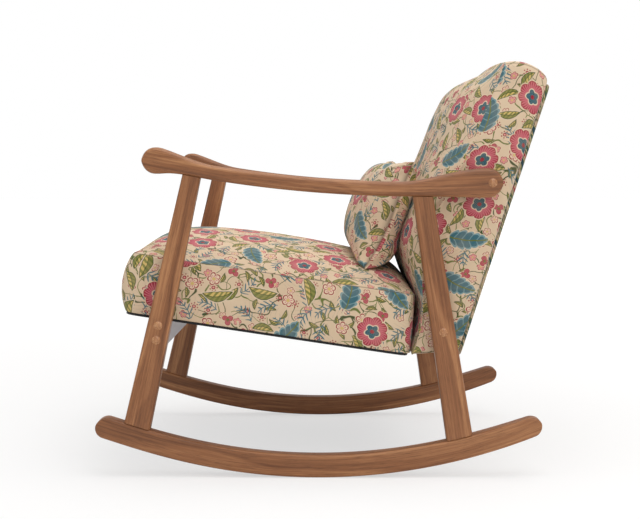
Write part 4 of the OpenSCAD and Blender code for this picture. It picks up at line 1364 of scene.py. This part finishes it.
        start, end = np.zeros(len(low)), np.ones(len(low))
        for _ in range(12):
            _, y, z = along(start)
            start = start + (self.runner_top(y) - z) / (top_z - foot_z)
            _, y, z = along(end)
            end = end + (self.arm_middle(y) - self.arm_half(y) - z) / (top_z - foot_z)
        rings, grain = [], []
        lean = math.atan2(top[0] - foot[0], top_z - foot_z)
        for step in np.concatenate([[0, 0.004], np.linspace(0.02, 0.98, 24), [0.996, 1]]):
            x, y, z = along(start * (1 - step) + end * step)
            rings.append(self.placed(self.inner_x + self.thickness / 2 + x, y, z))
            run = z * math.cos(lean) + y * math.sin(lean)
            across = y * math.cos(lean) - z * math.sin(lean)
            grain.append(np.stack([run, across, x + 77.0 * self.side.value + foot[0]], axis=-1) * MM)
        tips = np.array([rings[0].mean(0), rings[-1].mean(0)])
        return bar(self.name(part), np.array(rings), tips, np.array(grain))

    def arm(self) -> Piece:
        """Loft the armrest: a shallow bow between a raised front bulb and a rear bulb.

        Returns:
            The armrest.
        """
        (front_y, _, front_r), (rear_y, _, rear_r) = self.arm_front, self.arm_rear
        turn = np.linspace(0.05, math.pi / 2, 12)[:-1]
        front_cap, rear_cap = front_y - front_r * np.cos(turn), rear_y + rear_r * np.cos(turn[::-1])
        middle_x = self.inner_x + self.arm_width / 2
        rings, grain = [], []
        for y in np.concatenate([front_cap, np.linspace(front_y, rear_y, 110), rear_cap]):
            half = float(self.arm_half(y))
            outline = rounded_box(self.arm_width / 2, half, min(self.arm_edge, 0.92 * half), 6)
            z = float(self.arm_middle(y)) + outline[:, 1]
            rings.append(self.placed(middle_x + outline[:, 0], np.full(len(z), y), z))
            shift = 0.9 + 0.2 * self.side.value
            rise = (z - self.arm_bow(y)) * MM
            grain.append(np.stack([np.full(len(z), y * MM), rise, outline[:, 0] * MM + shift], axis=-1))
        ends = (front_y - front_r, rear_y + rear_r)
        tips = np.array([self.placed(middle_x, y, float(self.arm_middle(y))) for y in ends])
        return bar(self.name("arm"), np.array(rings), tips, np.array(grain))

    def build(self, tree: RunnerTree, wood: Material) -> None:
        """Make the side's four pieces, dress them and let them stand for their solids.

        Args:
            tree: what bends the runner.
            wood: the finish of the side.
        """
        made = [
            (self.runner(tree, wood), self.name("runner")),
            (self.leg("front_post", self.front_top, self.front_foot), self.name("front_leg")),
            (self.leg("rear_post", self.rear_top, self.rear_foot), self.name("rear_leg")),
            (self.arm(), self.name("armrest")),
        ]
        for piece, node in made:
            dress(piece, wood)
            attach(piece, "chair")
            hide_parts(node)
            LOG.info("%s stands for %s", piece.name, node)


# Padding

FACE = 1.0
UNDER = 0.0


@dataclass
class SoftBlock:
    """A closed soft form made like a box: a face, four walls and an underside, each a grid.

    Its place gives the points of FACE, of UNDER, or of a wall at minus a share of the wall's height.
    """

    name: str
    cells: int
    levels: int
    place: Callable[[np.ndarray, np.ndarray, float], np.ndarray]
    crowd: float = 0.35
    under_shift: float = 3.1
    wall_shift: Pair = (-5.3, 1.7)

    def build(self, uv_shift: Pair = (0.0, 0.0)) -> Piece:
        """Make the mesh, with its cloth map and the places of its seams.

        Args:
            uv_shift: where on the bolt of cloth its panels are cut.

        Returns:
            The piece. Its attribute face_share is 1 on the face, 0 on the underside.
        """
        n, m = self.cells, self.levels
        t = np.linspace(0, 1, n + 1)
        lines = (1 - self.crowd) * (2 * t - 1) - self.crowd * np.cos(math.pi * t)
        a, b = np.meshgrid(lines, lines, indexing="ij")
        rim = grid_rim(n)
        round_count, count = len(rim), (n + 1) ** 2
        index = rim @ (n + 1, 1)
        rim_a, rim_b = lines[rim[:, 0]], lines[rim[:, 1]]
        points = [self.place(a.ravel(), b.ravel(), FACE), self.place(a.ravel(), b.ravel(), UNDER)]
        share = [np.ones(count), np.zeros(count)]
        for rise in 0.5 - 0.5 * np.cos(math.pi * np.arange(1, m) / m):
            points.append(self.place(rim_a, rim_b, -rise))
            share.append(np.full(round_count, rise))
        walls = [2 * count + k * round_count + np.arange(round_count) for k in range(m - 1)]
        rows = [count + index, *walls, index]
        faces = grid_cells(n)
        for k in range(m):
            for q in range(round_count):
                r = (q + 1) % round_count
                faces.append([rows[k][q], rows[k][r], rows[k + 1][r], rows[k + 1][q]])
        all_points = np.vstack(points)
        piece = new_piece(self.name, all_points * MM, faces)
        self.map_cloth(piece, all_points * MM, rows, uv_shift)
        turn_outward(piece)
        store(piece, "face_share", np.concatenate(share))
        # The points of the seam, where the linen paints shade.
        seam = np.zeros(len(all_points))
        seam[index] = 1.0
        store(piece, "seam", seam)
        corner = np.minimum(np.abs(rim_a), np.abs(rim_b)) > 0.999
        store(piece, "corner", np.concatenate([np.zeros(2 * count), np.tile(corner * 1.0, m - 1)]))
        return piece

    def map_cloth(self, piece: Piece, points: np.ndarray, rows: list[np.ndarray], shift: Pair) -> None:
        """Lay the cloth on the form: panels flat on the face and underside, a band round the walls.

        Args:
            piece: the mesh, whose faces are the cells of both grids by turns, and then the walls row by row.
            points: its points, in metres.
            rows: point numbers of each level round the walls.
            shift: where on the bolt the panels are cut.
        """
        layer = piece.data.uv_layers.new(name="cloth")
        n, width = self.cells, len(rows[0])
        count = (n + 1) ** 2
        flat = []
        for panel, offset in ((0, 0.0), (1, self.under_shift)):
            grid = points[panel * count:(panel + 1) * count].reshape(n + 1, n + 1, 3)
            u, v = run_lengths(grid, 0), run_lengths(grid, 1)
            u -= u[n // 2]
            v -= v[:, n // 2][:, None]
            flat.append(np.stack([u.ravel() + shift[0] + offset, v.ravel() + shift[1]], axis=1))
        around = np.linalg.norm(np.diff(points[np.append(rows[-1], rows[-1][0])], axis=0), axis=1)
        run = np.concatenate([[0], np.cumsum(around)])
        rises = [np.zeros(width)]
        for lower, upper in zip(rows, rows[1:]):
            rises.append(rises[-1] + np.linalg.norm(points[upper] - points[lower], axis=1))
        for number, poly in enumerate(piece.data.polygons):
            if number < 2 * n * n:
                panel = number % 2
                for loop in poly.loop_indices:
                    layer.data[loop].uv = flat[panel][piece.data.loops[loop].vertex_index - panel * count]
                continue
            k, q = divmod(number - 2 * n * n, width)
            corners = ((k, q), (k, q + 1), (k + 1, q + 1), (k + 1, q))
            for loop, (level, place) in zip(poly.loop_indices, corners):
                across, up = run[place] + self.wall_shift[0], rises[level][place % width] + self.wall_shift[1]
                layer.data[loop].uv = (across + shift[0], up + shift[1])


def run_lengths(grid: np.ndarray, axis: int) -> np.ndarray:
    """Length along the lines of a grid of points, from 0 on its first row or column."""
    steps = np.linalg.norm(np.diff(grid, axis=axis), axis=2)
    return np.insert(np.cumsum(steps, axis=axis), 0, 0.0, axis=axis)


def on_rounded(a: np.ndarray, b: np.ndarray, power: float) -> tuple[np.ndarray, np.ndarray, np.ndarray]:
    """Pull a square's points onto a rounded square.

    Args:
        a: places across, -1 to 1.
        b: places along, -1 to 1.
        power: how square it is.

    Returns:
        Share of the way to the rim, and the rim's place in that direction.
    """
    rho = np.maximum(np.abs(a), np.abs(b))
    safe = np.where(rho < 1e-9, 1.0, rho)
    x, y = a / safe, b / safe
    size = np.maximum((np.abs(x) ** power + np.abs(y) ** power) ** (1 / power), 1e-9)
    return rho, x / size, y / size


CLOTH_SETTINGS: dict[str, float | bool | str] = {
    "quality": 6, "mass": 0.25, "tension_stiffness": 18, "compression_stiffness": 12, "shear_stiffness": 6,
    "bending_stiffness": 0.35, "air_damping": 2.5, "use_pressure": True, "vertex_group_mass": "held",
}


def puffed(piece: Piece, held: np.ndarray, pressure: float, cap: float, frames: int = 20) -> None:
    """Blow a padded piece up with cloth simulation, and keep the result.

    Args:
        piece: the closed mesh.
        held: how firmly each point is held, 0 to 1.
        pressure: pressure inside.
        cap: how far a point may move, in metres.
        frames: frames to run.
    """
    scene = bpy.context.scene
    group = piece.vertex_groups.new(name="held")
    for number, weight in enumerate(held):
        if weight > 0:
            group.add([number], float(weight), "REPLACE")
    before = places(piece)
    modifier = piece.modifiers.new("padding", "CLOTH")
    for key, value in CLOTH_SETTINGS.items():
        setattr(modifier.settings, key, value)
    modifier.settings.uniform_pressure_force = pressure
    modifier.settings.effector_weights.gravity = 0
    modifier.collision_settings.use_collision = False
    modifier.point_cache.frame_start = 1
    modifier.point_cache.frame_end = frames
    scene.frame_start, scene.frame_end = 1, frames
    for number in range(1, frames + 1):
        scene.frame_set(number)
    shown = piece.evaluated_get(bpy.context.evaluated_depsgraph_get())
    move = vectors(shown.to_mesh().vertices, "co") - before
    shown.to_mesh_clear()
    piece.modifiers.clear()
    piece.vertex_groups.clear()
    scene.frame_set(1)
    far = np.linalg.norm(move, axis=1)
    move *= (np.minimum(far, cap) / np.maximum(far, 1e-9))[:, None]
    move_points(piece, before + move)


def ripple(
    place: np.ndarray, seed: int, waves: int = 5, short: float = 18.0, long: float = 46.0
) -> np.ndarray:
    """Sum a few waves along a line, about -1 to 1.

    Args:
        place: place along the line, in millimetres.
        seed: number that sets the waves.
        waves: how many waves are summed.
        short: shortest wave.
        long: longest wave.

    Returns:
        The sum at each place.
    """
    chance = np.random.default_rng(seed)
    total = np.zeros_like(place)
    for _ in range(waves):
        total += np.sin(TURN * place / chance.uniform(short, long) + chance.uniform(0, 6.28))
    return total / waves


def side_swell(u: float) -> float:
    """How far a wall swells at a share of its height."""
    return math.sin(math.radians(150 * u)) / math.sin(math.radians(75))


def raised(piece: Piece, points: np.ndarray, height: np.ndarray) -> np.ndarray:
    """Move points along a piece's normals by heights in millimetres, and give their places in metres."""
    return points + directions(piece) * (height * MM)[:, None]


def pressed(piece: Piece, neighbours: Sequence[Piece], gap: float = 0.0012, search: float = 0.04) -> None:
    """Press a soft piece flat where it rests on its neighbours.

    Args:
        piece: the finished mesh.
        neighbours: the pieces it lies against.
        gap: the least distance kept, in metres.
        search: how far a neighbour is looked for, in metres.
    """
    points = places(piece)
    for other in neighbours:
        faces = [tuple(face.vertices) for face in other.data.polygons]
        tree = BVHTree.FromPolygons([tuple(point) for point in places(other)], faces)
        for number, point in enumerate(points):
            near, outward, _, _ = tree.find_nearest(Vector(point), search)
            if near is not None and (Vector(point) - near).dot(outward) < gap:
                points[number] = near + outward * gap
    move_points(piece, points)


@dataclass
class Padding:
    """A soft part in axes of its own, whose upper end leans to the rear. Sizes are in millimetres."""

    lean: float = 0.0
    origin: Pair = (0.0, 0.0)

    def out(self, own: np.ndarray) -> np.ndarray:
        """Bring places from the part's own axes to the row frame, both in millimetres.

        Args:
            own: places in the part's axes.

        Returns:
            The same places in the row frame.
        """
        c, s = math.cos(math.radians(self.lean)), math.sin(math.radians(self.lean))
        y = own[:, 1] * c + own[:, 2] * s + self.origin[0]
        z = own[:, 2] * c - own[:, 1] * s + self.origin[1]
        return np.stack([own[:, 0], y, z], axis=1)

    def local(self, points: np.ndarray) -> np.ndarray:
        """Bring places in metres back to the part's own axes, in millimetres.

        Args:
            points: places in the row frame.

        Returns:
            The same places in the part's axes.
        """
        c, s = math.cos(math.radians(self.lean)), math.sin(math.radians(self.lean))
        x, y, z = (points / MM - np.array([0, *self.origin])).T
        return np.stack([x, y * c - z * s, z * c + y * s], axis=1)


@dataclass
class SeatPad(Padding):
    """The upholstered seat with its black dust cover."""

    lean: float = 8.5
    origin: Pair = (-372.0, 316.0)
    half_width: float = 272.0
    side_limit: float = 277.6
    draw: float = 5.7
    depth: float = 553.0
    rear_draw: float = 9.0
    side_height: float = 117.0
    crown: float = 62.0
    nose: float = 29.0
    nose_foot: float = 4.0
    corner_power: float = 26.0
    cells: int = 64
    levels: int = 14
    pucker: float = 1.1
    unevenness: float = 1.4
    seam_sink: float = 1.6
    sheet_inset: float = 1.5
    sheet_rear_inset: float = 4.5
    sheet_sag: float = 2.2
    sheet_hem: float = 1.9
    sheet_cells: int = 40

    def nose_at(self, u: float) -> float:
        """How far the front bulges at a share of the wall's height."""
        return self.nose_foot + (self.nose - self.nose_foot) * math.sin(math.radians(12 + 158 * u)) ** 0.55

    def place(self, a: np.ndarray, b: np.ndarray, part: float) -> np.ndarray:
        """Give the points of the crown, the underside or a wall.

        Args:
            a: places across, -1 to 1.
            b: places along, -1 to 1.
            part: FACE, UNDER, or minus a share of the wall's height.

        Returns:
            The points in the row frame.
        """
        rho, px, py = on_rounded(a, b, self.corner_power)
        u = abs(part)
        half_x = self.half_width + self.draw * side_swell(u)
        reach = self.depth / 2 + np.where(py < 0, self.nose_at(u), -self.rear_draw * u) * np.abs(py)
        x, y = rho * half_x * px, self.depth / 2 + rho * reach * py
        if part == FACE:
            across, along = np.abs(rho * px), np.abs(rho * py)
            w = self.side_height + self.crown * (1 - across**2.2) * (1 - 0.37 * along**2 - 0.63 * along**10)
        else:
            w = np.full(len(a), u * self.side_height + (0.4 if part == UNDER else 0.0))
        return self.out(np.stack([x, y, w], axis=1))

    def settle(self, piece: Piece) -> None:
        """Blow the seat up, pucker it along its seam and hold it inside its neighbours.

        Args:
            piece: the seat.
        """
        share, seam = stored(piece, "face_share"), stored(piece, "seam")
        face, wall = (share >= 1.0) * 1.0, ((share > 0) & (share < 1)) * 1.0
        x, y, z = self.local(places(piece)).T
        puffed(piece, np.where(share <= 0.0, 1.0, np.where(seam > 0.5, 0.92, 0.0)), 4.0, 0.007)
        points = places(piece)
        own = self.local(points)
        edge = np.minimum(self.half_width - np.abs(x), np.minimum(y + self.nose, self.depth - y))
        near = np.exp(-np.maximum(edge, 0) / 20.0) * face
        near += np.exp(-np.abs(self.side_height - z) / 16.0) * wall
        broad = np.sin(own[:, 0] / 71.0 + 1.1) * np.sin(own[:, 1] / 83.0 + 0.4) * face * (1 - near)
        puckers = ripple(x + y, 5) * near * (1 - seam)
        height = self.pucker * puckers + self.unevenness * broad - self.seam_sink * seam
        own = self.local(raised(piece, points, height))
        own[:, 0] = np.clip(own[:, 0], -self.side_limit, self.side_limit)
        limit = self.depth - (self.rear_draw - 0.3) * np.clip(own[:, 2] / self.side_height, 0, 1)
        own[:, 1] = np.minimum(own[:, 1], limit)
        move_points(piece, self.out(own) * MM)

    def dust_cover(self) -> Piece:
        """Stretch the black cloth under the seat, with its edge folded under and a slight sag.

        Returns:
            The sheet.
        """
        n = self.sheet_cells
        lines = np.linspace(-1, 1, n + 1)
        a, b = np.meshgrid(lines, lines, indexing="ij")
        rho, px, py = on_rounded(a.ravel(), b.ravel(), self.corner_power)
        x = rho * px * (self.half_width - self.sheet_inset)
        ahead = self.nose_at(0) - self.sheet_inset
        reach = self.depth / 2 + np.where(py < 0, ahead, -self.sheet_rear_inset) * np.abs(py)
        y = self.depth / 2 + rho * reach * py
        sag = self.sheet_sag * (1 - np.abs(rho * px) ** 2) * (1 - np.abs(rho * py) ** 2)
        hem = np.where(rho > 0.93, self.sheet_hem, 0.0)
        top = self.out(np.stack([x, y, np.full(len(x), -0.2)], axis=1))
        low = self.out(np.stack([x, y, -2.5 - sag - hem], axis=1))
        count = (n + 1) ** 2
        index = grid_rim(n) @ (n + 1, 1)
        faces = grid_cells(n)
        for here, there in zip(index, np.roll(index, -1)):
            faces.append([count + here, count + there, there, here])
        return new_piece("seat_dust_sheet", np.vstack([top, low]) * MM, faces, outward=True)

    def build(self, linen: Material, black: Material) -> Piece:
        """Make the seat and its dust cover.

        Args:
            linen: finish of the seat.
            black: finish of the dust cover.

        Returns:
            The seat.
        """
        seat = SoftBlock("seat_padding", self.cells, self.levels, self.place).build((0.31, 0.12))
        self.settle(seat)
        subdivided(seat, 1)
        dress(seat, linen)
        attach(seat, "chair")
        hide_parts("seat_cover", "seat_foam", "seat_spring_pad")
        sheet = self.dust_cover()
        dress(sheet, black)
        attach(sheet, "chair")
        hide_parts("seat_dust_cover")
        LOG.info("seat of %d faces, dust cover of %d", len(seat.data.polygons), len(sheet.data.polygons))
        return seat


@dataclass
class BackPad(Padding):
    """The upholstered back. The side depths and crown shares stand at even steps from foot to top."""

    lean: float = 17.8
    origin: Pair = (263.0, 234.0)
    half_width: float = 274.0
    side_limit: float = 277.8
    draw: float = 3.7
    length: float = 550.0
    crown: float = 64.0
    top_rise: float = 26.0
    top_crown: float = 14.0
    foot_drop: float = 32.0
    foot_height: float = 95.0
    corner_power: float = 60.0
    side_depths: tuple[float, ...] = (90, 99, 121, 140, 141, 131, 119, 111, 106, 102, 98)
    crown_shares: tuple[float, ...] = (0, -0.15, 0.22, 0.52, 0.54, 0.72, 0.80, 0.91, 1.07, 1.20, 0.3)
    cells: int = 66
    levels: int = 14
    edge_share: float = 0.9
    cord_radius: float = 3.5
    cord_inset: float = 3.0
    cord_behind: float = 3.8
    pucker: float = 0.9
    unevenness: float = 1.3

    def along(self, values: Sequence[float], s: np.ndarray) -> np.ndarray:
        """Read a list of sizes up the back, joined by a smooth curve.

        Args:
            values: sizes at even steps from foot to top.
            s: places up the back.

        Returns:
            The size at each place.
        """
        v = np.array(values, float)
        last = len(v) - 1
        c = np.clip(s / (self.length + self.top_rise), 0, 1) * last
        k = np.minimum(last - 1, np.floor(c)).astype(int)
        t = c - k
        a, b, d, e = v[np.maximum(0, k - 1)], v[k], v[k + 1], v[np.minimum(last, k + 2)]
        return b + t / 2 * ((d - a) + t * ((2 * a - 5 * b + 4 * d - e) + t * (3 * (b - d) + e - a)))

    def place(self, a: np.ndarray, b: np.ndarray, part: float) -> np.ndarray:
        """Give the points of the front, the rear panel or a wall.

        Args:
            a: places across, -1 to 1.
            b: places up, -1 to 1.
            part: FACE, UNDER, or minus a share of the wall's depth.

        Returns:
            The points in the row frame.
        """
        rho, px, py = on_rounded(a, b, self.corner_power)
        u = abs(part)
        half_x = self.half_width + self.draw * side_swell(0.8 * u)
        top = self.length + self.top_rise * math.sin(math.radians(162 * u)) ** 0.5 + 5.0 * math.exp(-5.0 * u)
        top = top + self.top_crown * (1 - px**2)
        foot = -self.foot_drop * u
        s = (top + foot) / 2 * (1 - rho * np.abs(py)) + np.where(py > 0, top, foot) * rho * np.abs(py)
        depth = self.along(self.side_depths, s)
        t = u * depth * self.edge_share
        if part == FACE:
            across, along = np.abs(rho * px), np.abs(rho * py)
            plain = ((1 - across**2.6) * (1 - along**3.6)).clip(0)
            t = t + depth * (1 - self.edge_share) * plain**0.5
            t = t + self.crown * self.along(self.crown_shares, s) * plain
        return self.out(np.stack([rho * half_x * px, -t, s], axis=1))

    def settle(self, piece: Piece) -> None:
        """Blow the back up, pucker its edges and hold it inside the frames.

        Args:
            piece: the back.
        """
        share = stored(piece, "face_share")
        face, wall = share >= 1.0, (share > 0) & (share < 1)
        start = self.local(places(piece))
        x, y, z = start.T
        puffed(piece, np.where(share <= 0.0, 1.0, np.where(share < 0.2, 0.6, 0.0)), 3.5, 0.006)
        loose = np.where(face, 0.5, 1.0) * np.clip((self.length + 10 - z) / 40, 0.1, 1)
        points = self.out(start + (self.local(places(piece)) - start) * loose[:, None]) * MM
        move_points(piece, points)
        broad = np.sin(x / 64.0 + 0.5) * np.sin(z / 77.0 + 2.0) * np.clip((z - 120) / 90, 0, 1) * face
        puckers = ripple(z + x, 9, 6, 16, 40) * np.exp(-np.abs(y) / 14.0) * wall
        own = self.local(raised(piece, points, self.unevenness * broad + self.pucker * puckers))
        own[:, 0] = np.clip(own[:, 0], -self.side_limit, self.side_limit)
        own[:, 1] = np.minimum(own[:, 1], 0.0)
        foot = own[:, 2] < self.foot_height
        own[foot, 1] = np.maximum(own[foot, 1], -self.along(self.side_depths, own[foot, 2]))
        move_points(piece, self.out(own) * MM)

    def cord_path(self, steps: int = 240) -> np.ndarray:
        """Line of the piping round the rear panel, in metres.

        Args:
            steps: how many places it has.

        Returns:
            Its places.
        """
        t = np.linspace(0, 4, steps, endpoint=False)
        side = np.floor(t).astype(int)
        e, one = -np.cos(math.pi * (t - side)), np.ones(steps)
        a, b = np.choose(side, [e, one, -e, -one]), np.choose(side, [-one, e, one, -e])
        _, px, py = on_rounded(a, b, self.corner_power)
        top = self.length + self.top_crown * (1 - px**2) - self.cord_inset
        end = np.where(py > 0, top, self.cord_inset)
        s = (top + self.cord_inset) / 2 * (1 - np.abs(py)) + end * np.abs(py)
        x = px * (self.half_width - self.cord_inset)
        return self.out(np.stack([x, np.full_like(x, self.cord_behind), s], axis=1)) * MM

    def build(self, linen: Material, banded: Material, seat: Piece) -> Piece:
        """Make the back and its piping.

        Args:
            linen: finish of the back.
            banded: finish of the piping.
            seat: the seat that the back's foot presses on.

        Returns:
            The back.
        """
        back = SoftBlock("back_padding", self.cells, self.levels, self.place).build((-0.22, 0.57))
        # On the back, the painted seam shade runs down the four corners of its walls.
        back.data.attributes["seam"].data.foreach_set("value", stored(back, "corner"))
        self.settle(back)
        subdivided(back, 1)
        pressed(back, [seat])
        dress(back, linen)
        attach(back, "chair")
        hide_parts("back_cover", "back_foam", "back_webbing", "back_rear_panel")
        cord = PipingTree().along("back_cord", self.cord_path(), self.cord_radius * MM, banded)
        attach(cord, "chair")
        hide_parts("back_piping")
        LOG.info("back of %d faces, piping of %d", len(back.data.polygons), len(cord.data.polygons))
        return back


@dataclass
class LoosePillow(Padding):
    """The small pillow that leans on the back."""

    lean: float = 20.0
    origin: Pair = (116.5, 504.2)
    width: float = 400.0
    height: float = 226.0
    front_swell: float = 60.0
    rear_swell: float = 42.0
    low_swell: float = 72.0
    wrap: float = 28.0
    sag_share: float = 0.18
    low_share: float = 0.05
    pull_share: float = 0.05
    side_pull_share: float = 0.05
    high_ear_share: float = 0.09
    low_ear_share: float = 0.05
    slack_share: float = 0.7
    gather: float = 2.2
    pucker: float = 1.2
    cells: int = 72

    def place(self, a: np.ndarray, b: np.ndarray, part: float) -> np.ndarray:
        """Give the points of the front, the rear or the thin edge between them.

        Args:
            a: places across, -1 to 1.
            b: places up, -1 to 1.
            part: FACE, UNDER, or minus a share of the edge's thickness.

        Returns:
            The points in the row frame.
        """
        lift = ((1 - np.abs(a) ** 3) * (1 - b**2)).clip(0) ** 0.36
        rho = np.maximum(np.abs(a), np.abs(b))
        safe = np.where(rho < 1e-9, 1.0, rho)
        da, db = a / safe, b / safe
        x = self.width / 2 * a * (1 - self.side_pull_share * (1 - db**2) * rho)
        pull = np.where(b < 0, self.sag_share, self.pull_share)
        half = self.height / 2 * np.where(b < 0, 1 - self.low_share, 1.0)
        ear = np.abs(a) ** 6 * np.where(b < 0, self.low_ear_share, self.high_ear_share)
        z = half * b * (1 - pull * (1 - da**2) * rho) * (1 + ear)
        low = np.maximum(0, -b)
        slack = 1 - self.slack_share * np.where((b < 0) | (a < 0), b**2, 0.0)
        if part == FACE:
            y = -1.0 - self.front_swell * lift
        elif part == UNDER:
            y = 1.0 + (self.rear_swell + self.low_swell * low**2 * (1 - low**6)) * lift
        else:
            y = np.full(len(a), 1.0 + 2.0 * part)
        return self.out(np.stack([x, y + self.wrap * a**2 * slack, z], axis=1))

    def settle(self, piece: Piece) -> None:
        """Blow the pillow up a little and draw gathers in from its ears and its edge.

        Args:
            piece: the pillow.
        """
        seam = stored(piece, "seam")
        x, _, z = self.local(places(piece)).T
        half_x, half_z = self.width / 2, self.height / 2
        in_x, in_z = half_x - np.abs(x), half_z - np.abs(z)
        puffed(piece, np.where(seam > 0.5, 0.95, 0.0), 3.0, 0.004, 16)
        ear = np.exp(-(in_x**2 + in_z**2) / 52.0**2)
        gathers = np.cos(np.arctan2(in_z + 3, in_x + 3) * 13.0) * ear
        edge = np.minimum(in_x.clip(0), in_z.clip(0))
        puckers = ripple(x + z * 0.8, 21, 6, 14, 30) * np.exp(-edge / 16.0)
        height = (self.gather * gathers + self.pucker * puckers) * (1 - seam)
        move_points(piece, raised(piece, places(piece), height))

    def build(self, linen: Material, rests_on: Sequence[Piece]) -> Piece:
        """Make the pillow.

        Args:
            linen: its finish.
            rests_on: the seat and the back.

        Returns:
            The pillow.
        """
        pillow = SoftBlock("pillow_padding", self.cells, 2, self.place, 0.25).build((1.37, -0.41))
        self.settle(pillow)
        subdivided(pillow, 1)
        pressed(pillow, rests_on)
        dress(pillow, linen)
        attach(pillow, "pillow")
        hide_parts("pillow_front_panel", "pillow_rear_panel", "pillow_filling")
        LOG.info("pillow of %d faces", len(pillow.data.polygons))
        return pillow


# The rest of the chair, and the studio


@dataclass
class Hardware:
    """The solids that keep their own shape: cross rail, plugs, bolts and the sealed inner frame."""

    groups: tuple[tuple[WoodFinish | PaintFinish, tuple[str, ...]], ...] = (
        (PALE_PAINT, ("front_cross_rail",)),
        (PAINTED_HIGHLIGHT_PLUG_WOOD, ("front_leg_plugs", "rear_leg_plugs", "arm_plugs")),
        (TIMBER, (
            "arm_dowels", "runner_dowels", "seat_front_rail", "seat_rear_rail", "seat_left_rail",
            "seat_right_rail", "seat_corner_blocks", "back_left_stile", "back_right_stile", "back_top_rail",
            "back_middle_rail", "back_bottom_rail",
        )),
        (STEEL, (
            "front_leg_bolts", "rear_leg_bolts", "arm_bolts", "weld_nuts", "insert_nuts", "seat_springs",
            "spring_clips", "cross_rail_screws", "seat_back_bolts", "seat_back_nuts",
        )),
    )

    def build(self) -> None:
        """Dress every solid that stays."""
        for finish, names in self.groups:
            material = finish.material()
            for name in names:
                dress(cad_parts[name], material)
            LOG.info("%s dressed in %s", ", ".join(names), finish.name)


@dataclass
class Studio:
    """A pale floor, soft lamps and the camera at the photograph's place. Sizes are in metres."""

    camera_place: Triple = (2.49097, 0.006, 0.581395)
    pitch: float = 0.0724336898
    yaw: float = -0.00414412
    focal_pixels: float = 1148.02
    picture_width: float = 640.0
    sensor: float = 36.0
    floor_half: float = 25.0
    lamp_aim: float = 0.4
    surround: float = 0.60
    floor_glow: float = 0.56

    def camera(self) -> None:
        """Set the camera up with the photograph's perspective."""
        data = bpy.data.cameras.new("photograph")
        data.sensor_fit = "HORIZONTAL"
        data.sensor_width = self.sensor
        data.lens = self.sensor * self.focal_pixels / self.picture_width
        data.clip_end = 60.0
        camera = bpy.data.objects.new("photograph", data)
        camera.location = self.camera_place
        camera.rotation_euler = (math.pi / 2 - self.pitch, 0.0, math.pi / 2 - self.yaw)
        bpy.context.scene.collection.objects.link(camera)
        bpy.context.scene.camera = camera

    def lamp(self, name: str, place: Triple, size: float, power: float) -> None:
        """Hang a square soft lamp that looks at the chair.

        Args:
            name: its name.
            place: where it hangs.
            size: its width.
            power: its power in watts.
        """
        data = bpy.data.lights.new(name, "AREA")
        data.size = size
        data.energy = power
        lamp = bpy.data.objects.new(name, data)
        lamp.location = place
        away = Vector((place[0], place[1], place[2] - self.lamp_aim))
        lamp.rotation_euler = away.to_track_quat("Z", "Y").to_euler()
        bpy.context.scene.collection.objects.link(lamp)

    def world(self) -> None:
        """Surround the chair with even pale light, white where the camera sees it."""
        world = bpy.data.worlds.new("studio")
        world.use_nodes = True
        work = NodeWork(world.node_tree)
        seen = work.signal(work.node("ShaderNodeLightPath").outputs["Is Camera Ray"])
        back = work.tree.nodes["Background"]
        work.plug(back.inputs["Color"], WHITE)
        work.plug(back.inputs["Strength"], seen * (1.0 - self.surround) + self.surround)
        bpy.context.scene.world = world

    def floor(self) -> None:
        """Lay the floor, which glows a little for the camera and keeps the chair's shadow."""
        recipe = Recipe("studio_floor")
        seen = recipe.signal(recipe.node("ShaderNodeLightPath").outputs["Is Camera Ray"])
        x, y, _ = recipe.split(recipe.node("ShaderNodeTexCoord").outputs["Object"])
        away = ((x * x + y * y).root() - 0.8).op("MULTIPLY", 0.25, clamp=True)
        recipe.plug(recipe.shader.inputs["Emission Color"], WHITE)
        recipe.plug(recipe.shader.inputs["Emission Strength"], seen * (away * 0.30 + self.floor_glow))
        ground = recipe.mix(seen, (0.80, 0.80, 0.80, 1.0), (0.40, 0.395, 0.39, 1.0))
        half = self.floor_half
        corners = np.array([(-half, -half, 0), (half, -half, 0), (half, half, 0), (-half, half, 0)])
        floor = new_piece("studio_floor", corners, [(0, 1, 2, 3)])
        dress(floor, recipe.finish(ground, 0.9, Specular_IOR_Level=0.2))

    def build(self) -> None:
        """Set the studio up."""
        self.camera()
        self.world()
        self.floor()
        self.lamp("overhead", (0.4, 0.5, 3.2), 3.0, 64.0)
        self.lamp("key", (3.0, 1.3, 1.9), 2.2, 24.0)
        self.lamp("fill", (1.6, -3.0, 1.5), 2.4, 4.0)
        bpy.context.scene.view_settings.view_transform = "Standard"


def main() -> None:
    """Build the chair's looks in order."""
    logging.basicConfig(level=logging.INFO, format="%(name)s: %(message)s")
    wood, linen, black = WOOD.material(), LINEN.material(), DUST_CLOTH.material()
    runner_tree = RunnerTree()
    for side in Side:
        SideFrame(side).build(runner_tree, wood)
    seat = SeatPad().build(linen, black)
    back = BackPad().build(linen, CORD.material(), seat)
    LoosePillow().build(linen, [seat, back])
    Hardware().build()
    Studio().build()


if __name__ == "__main__":
    main()
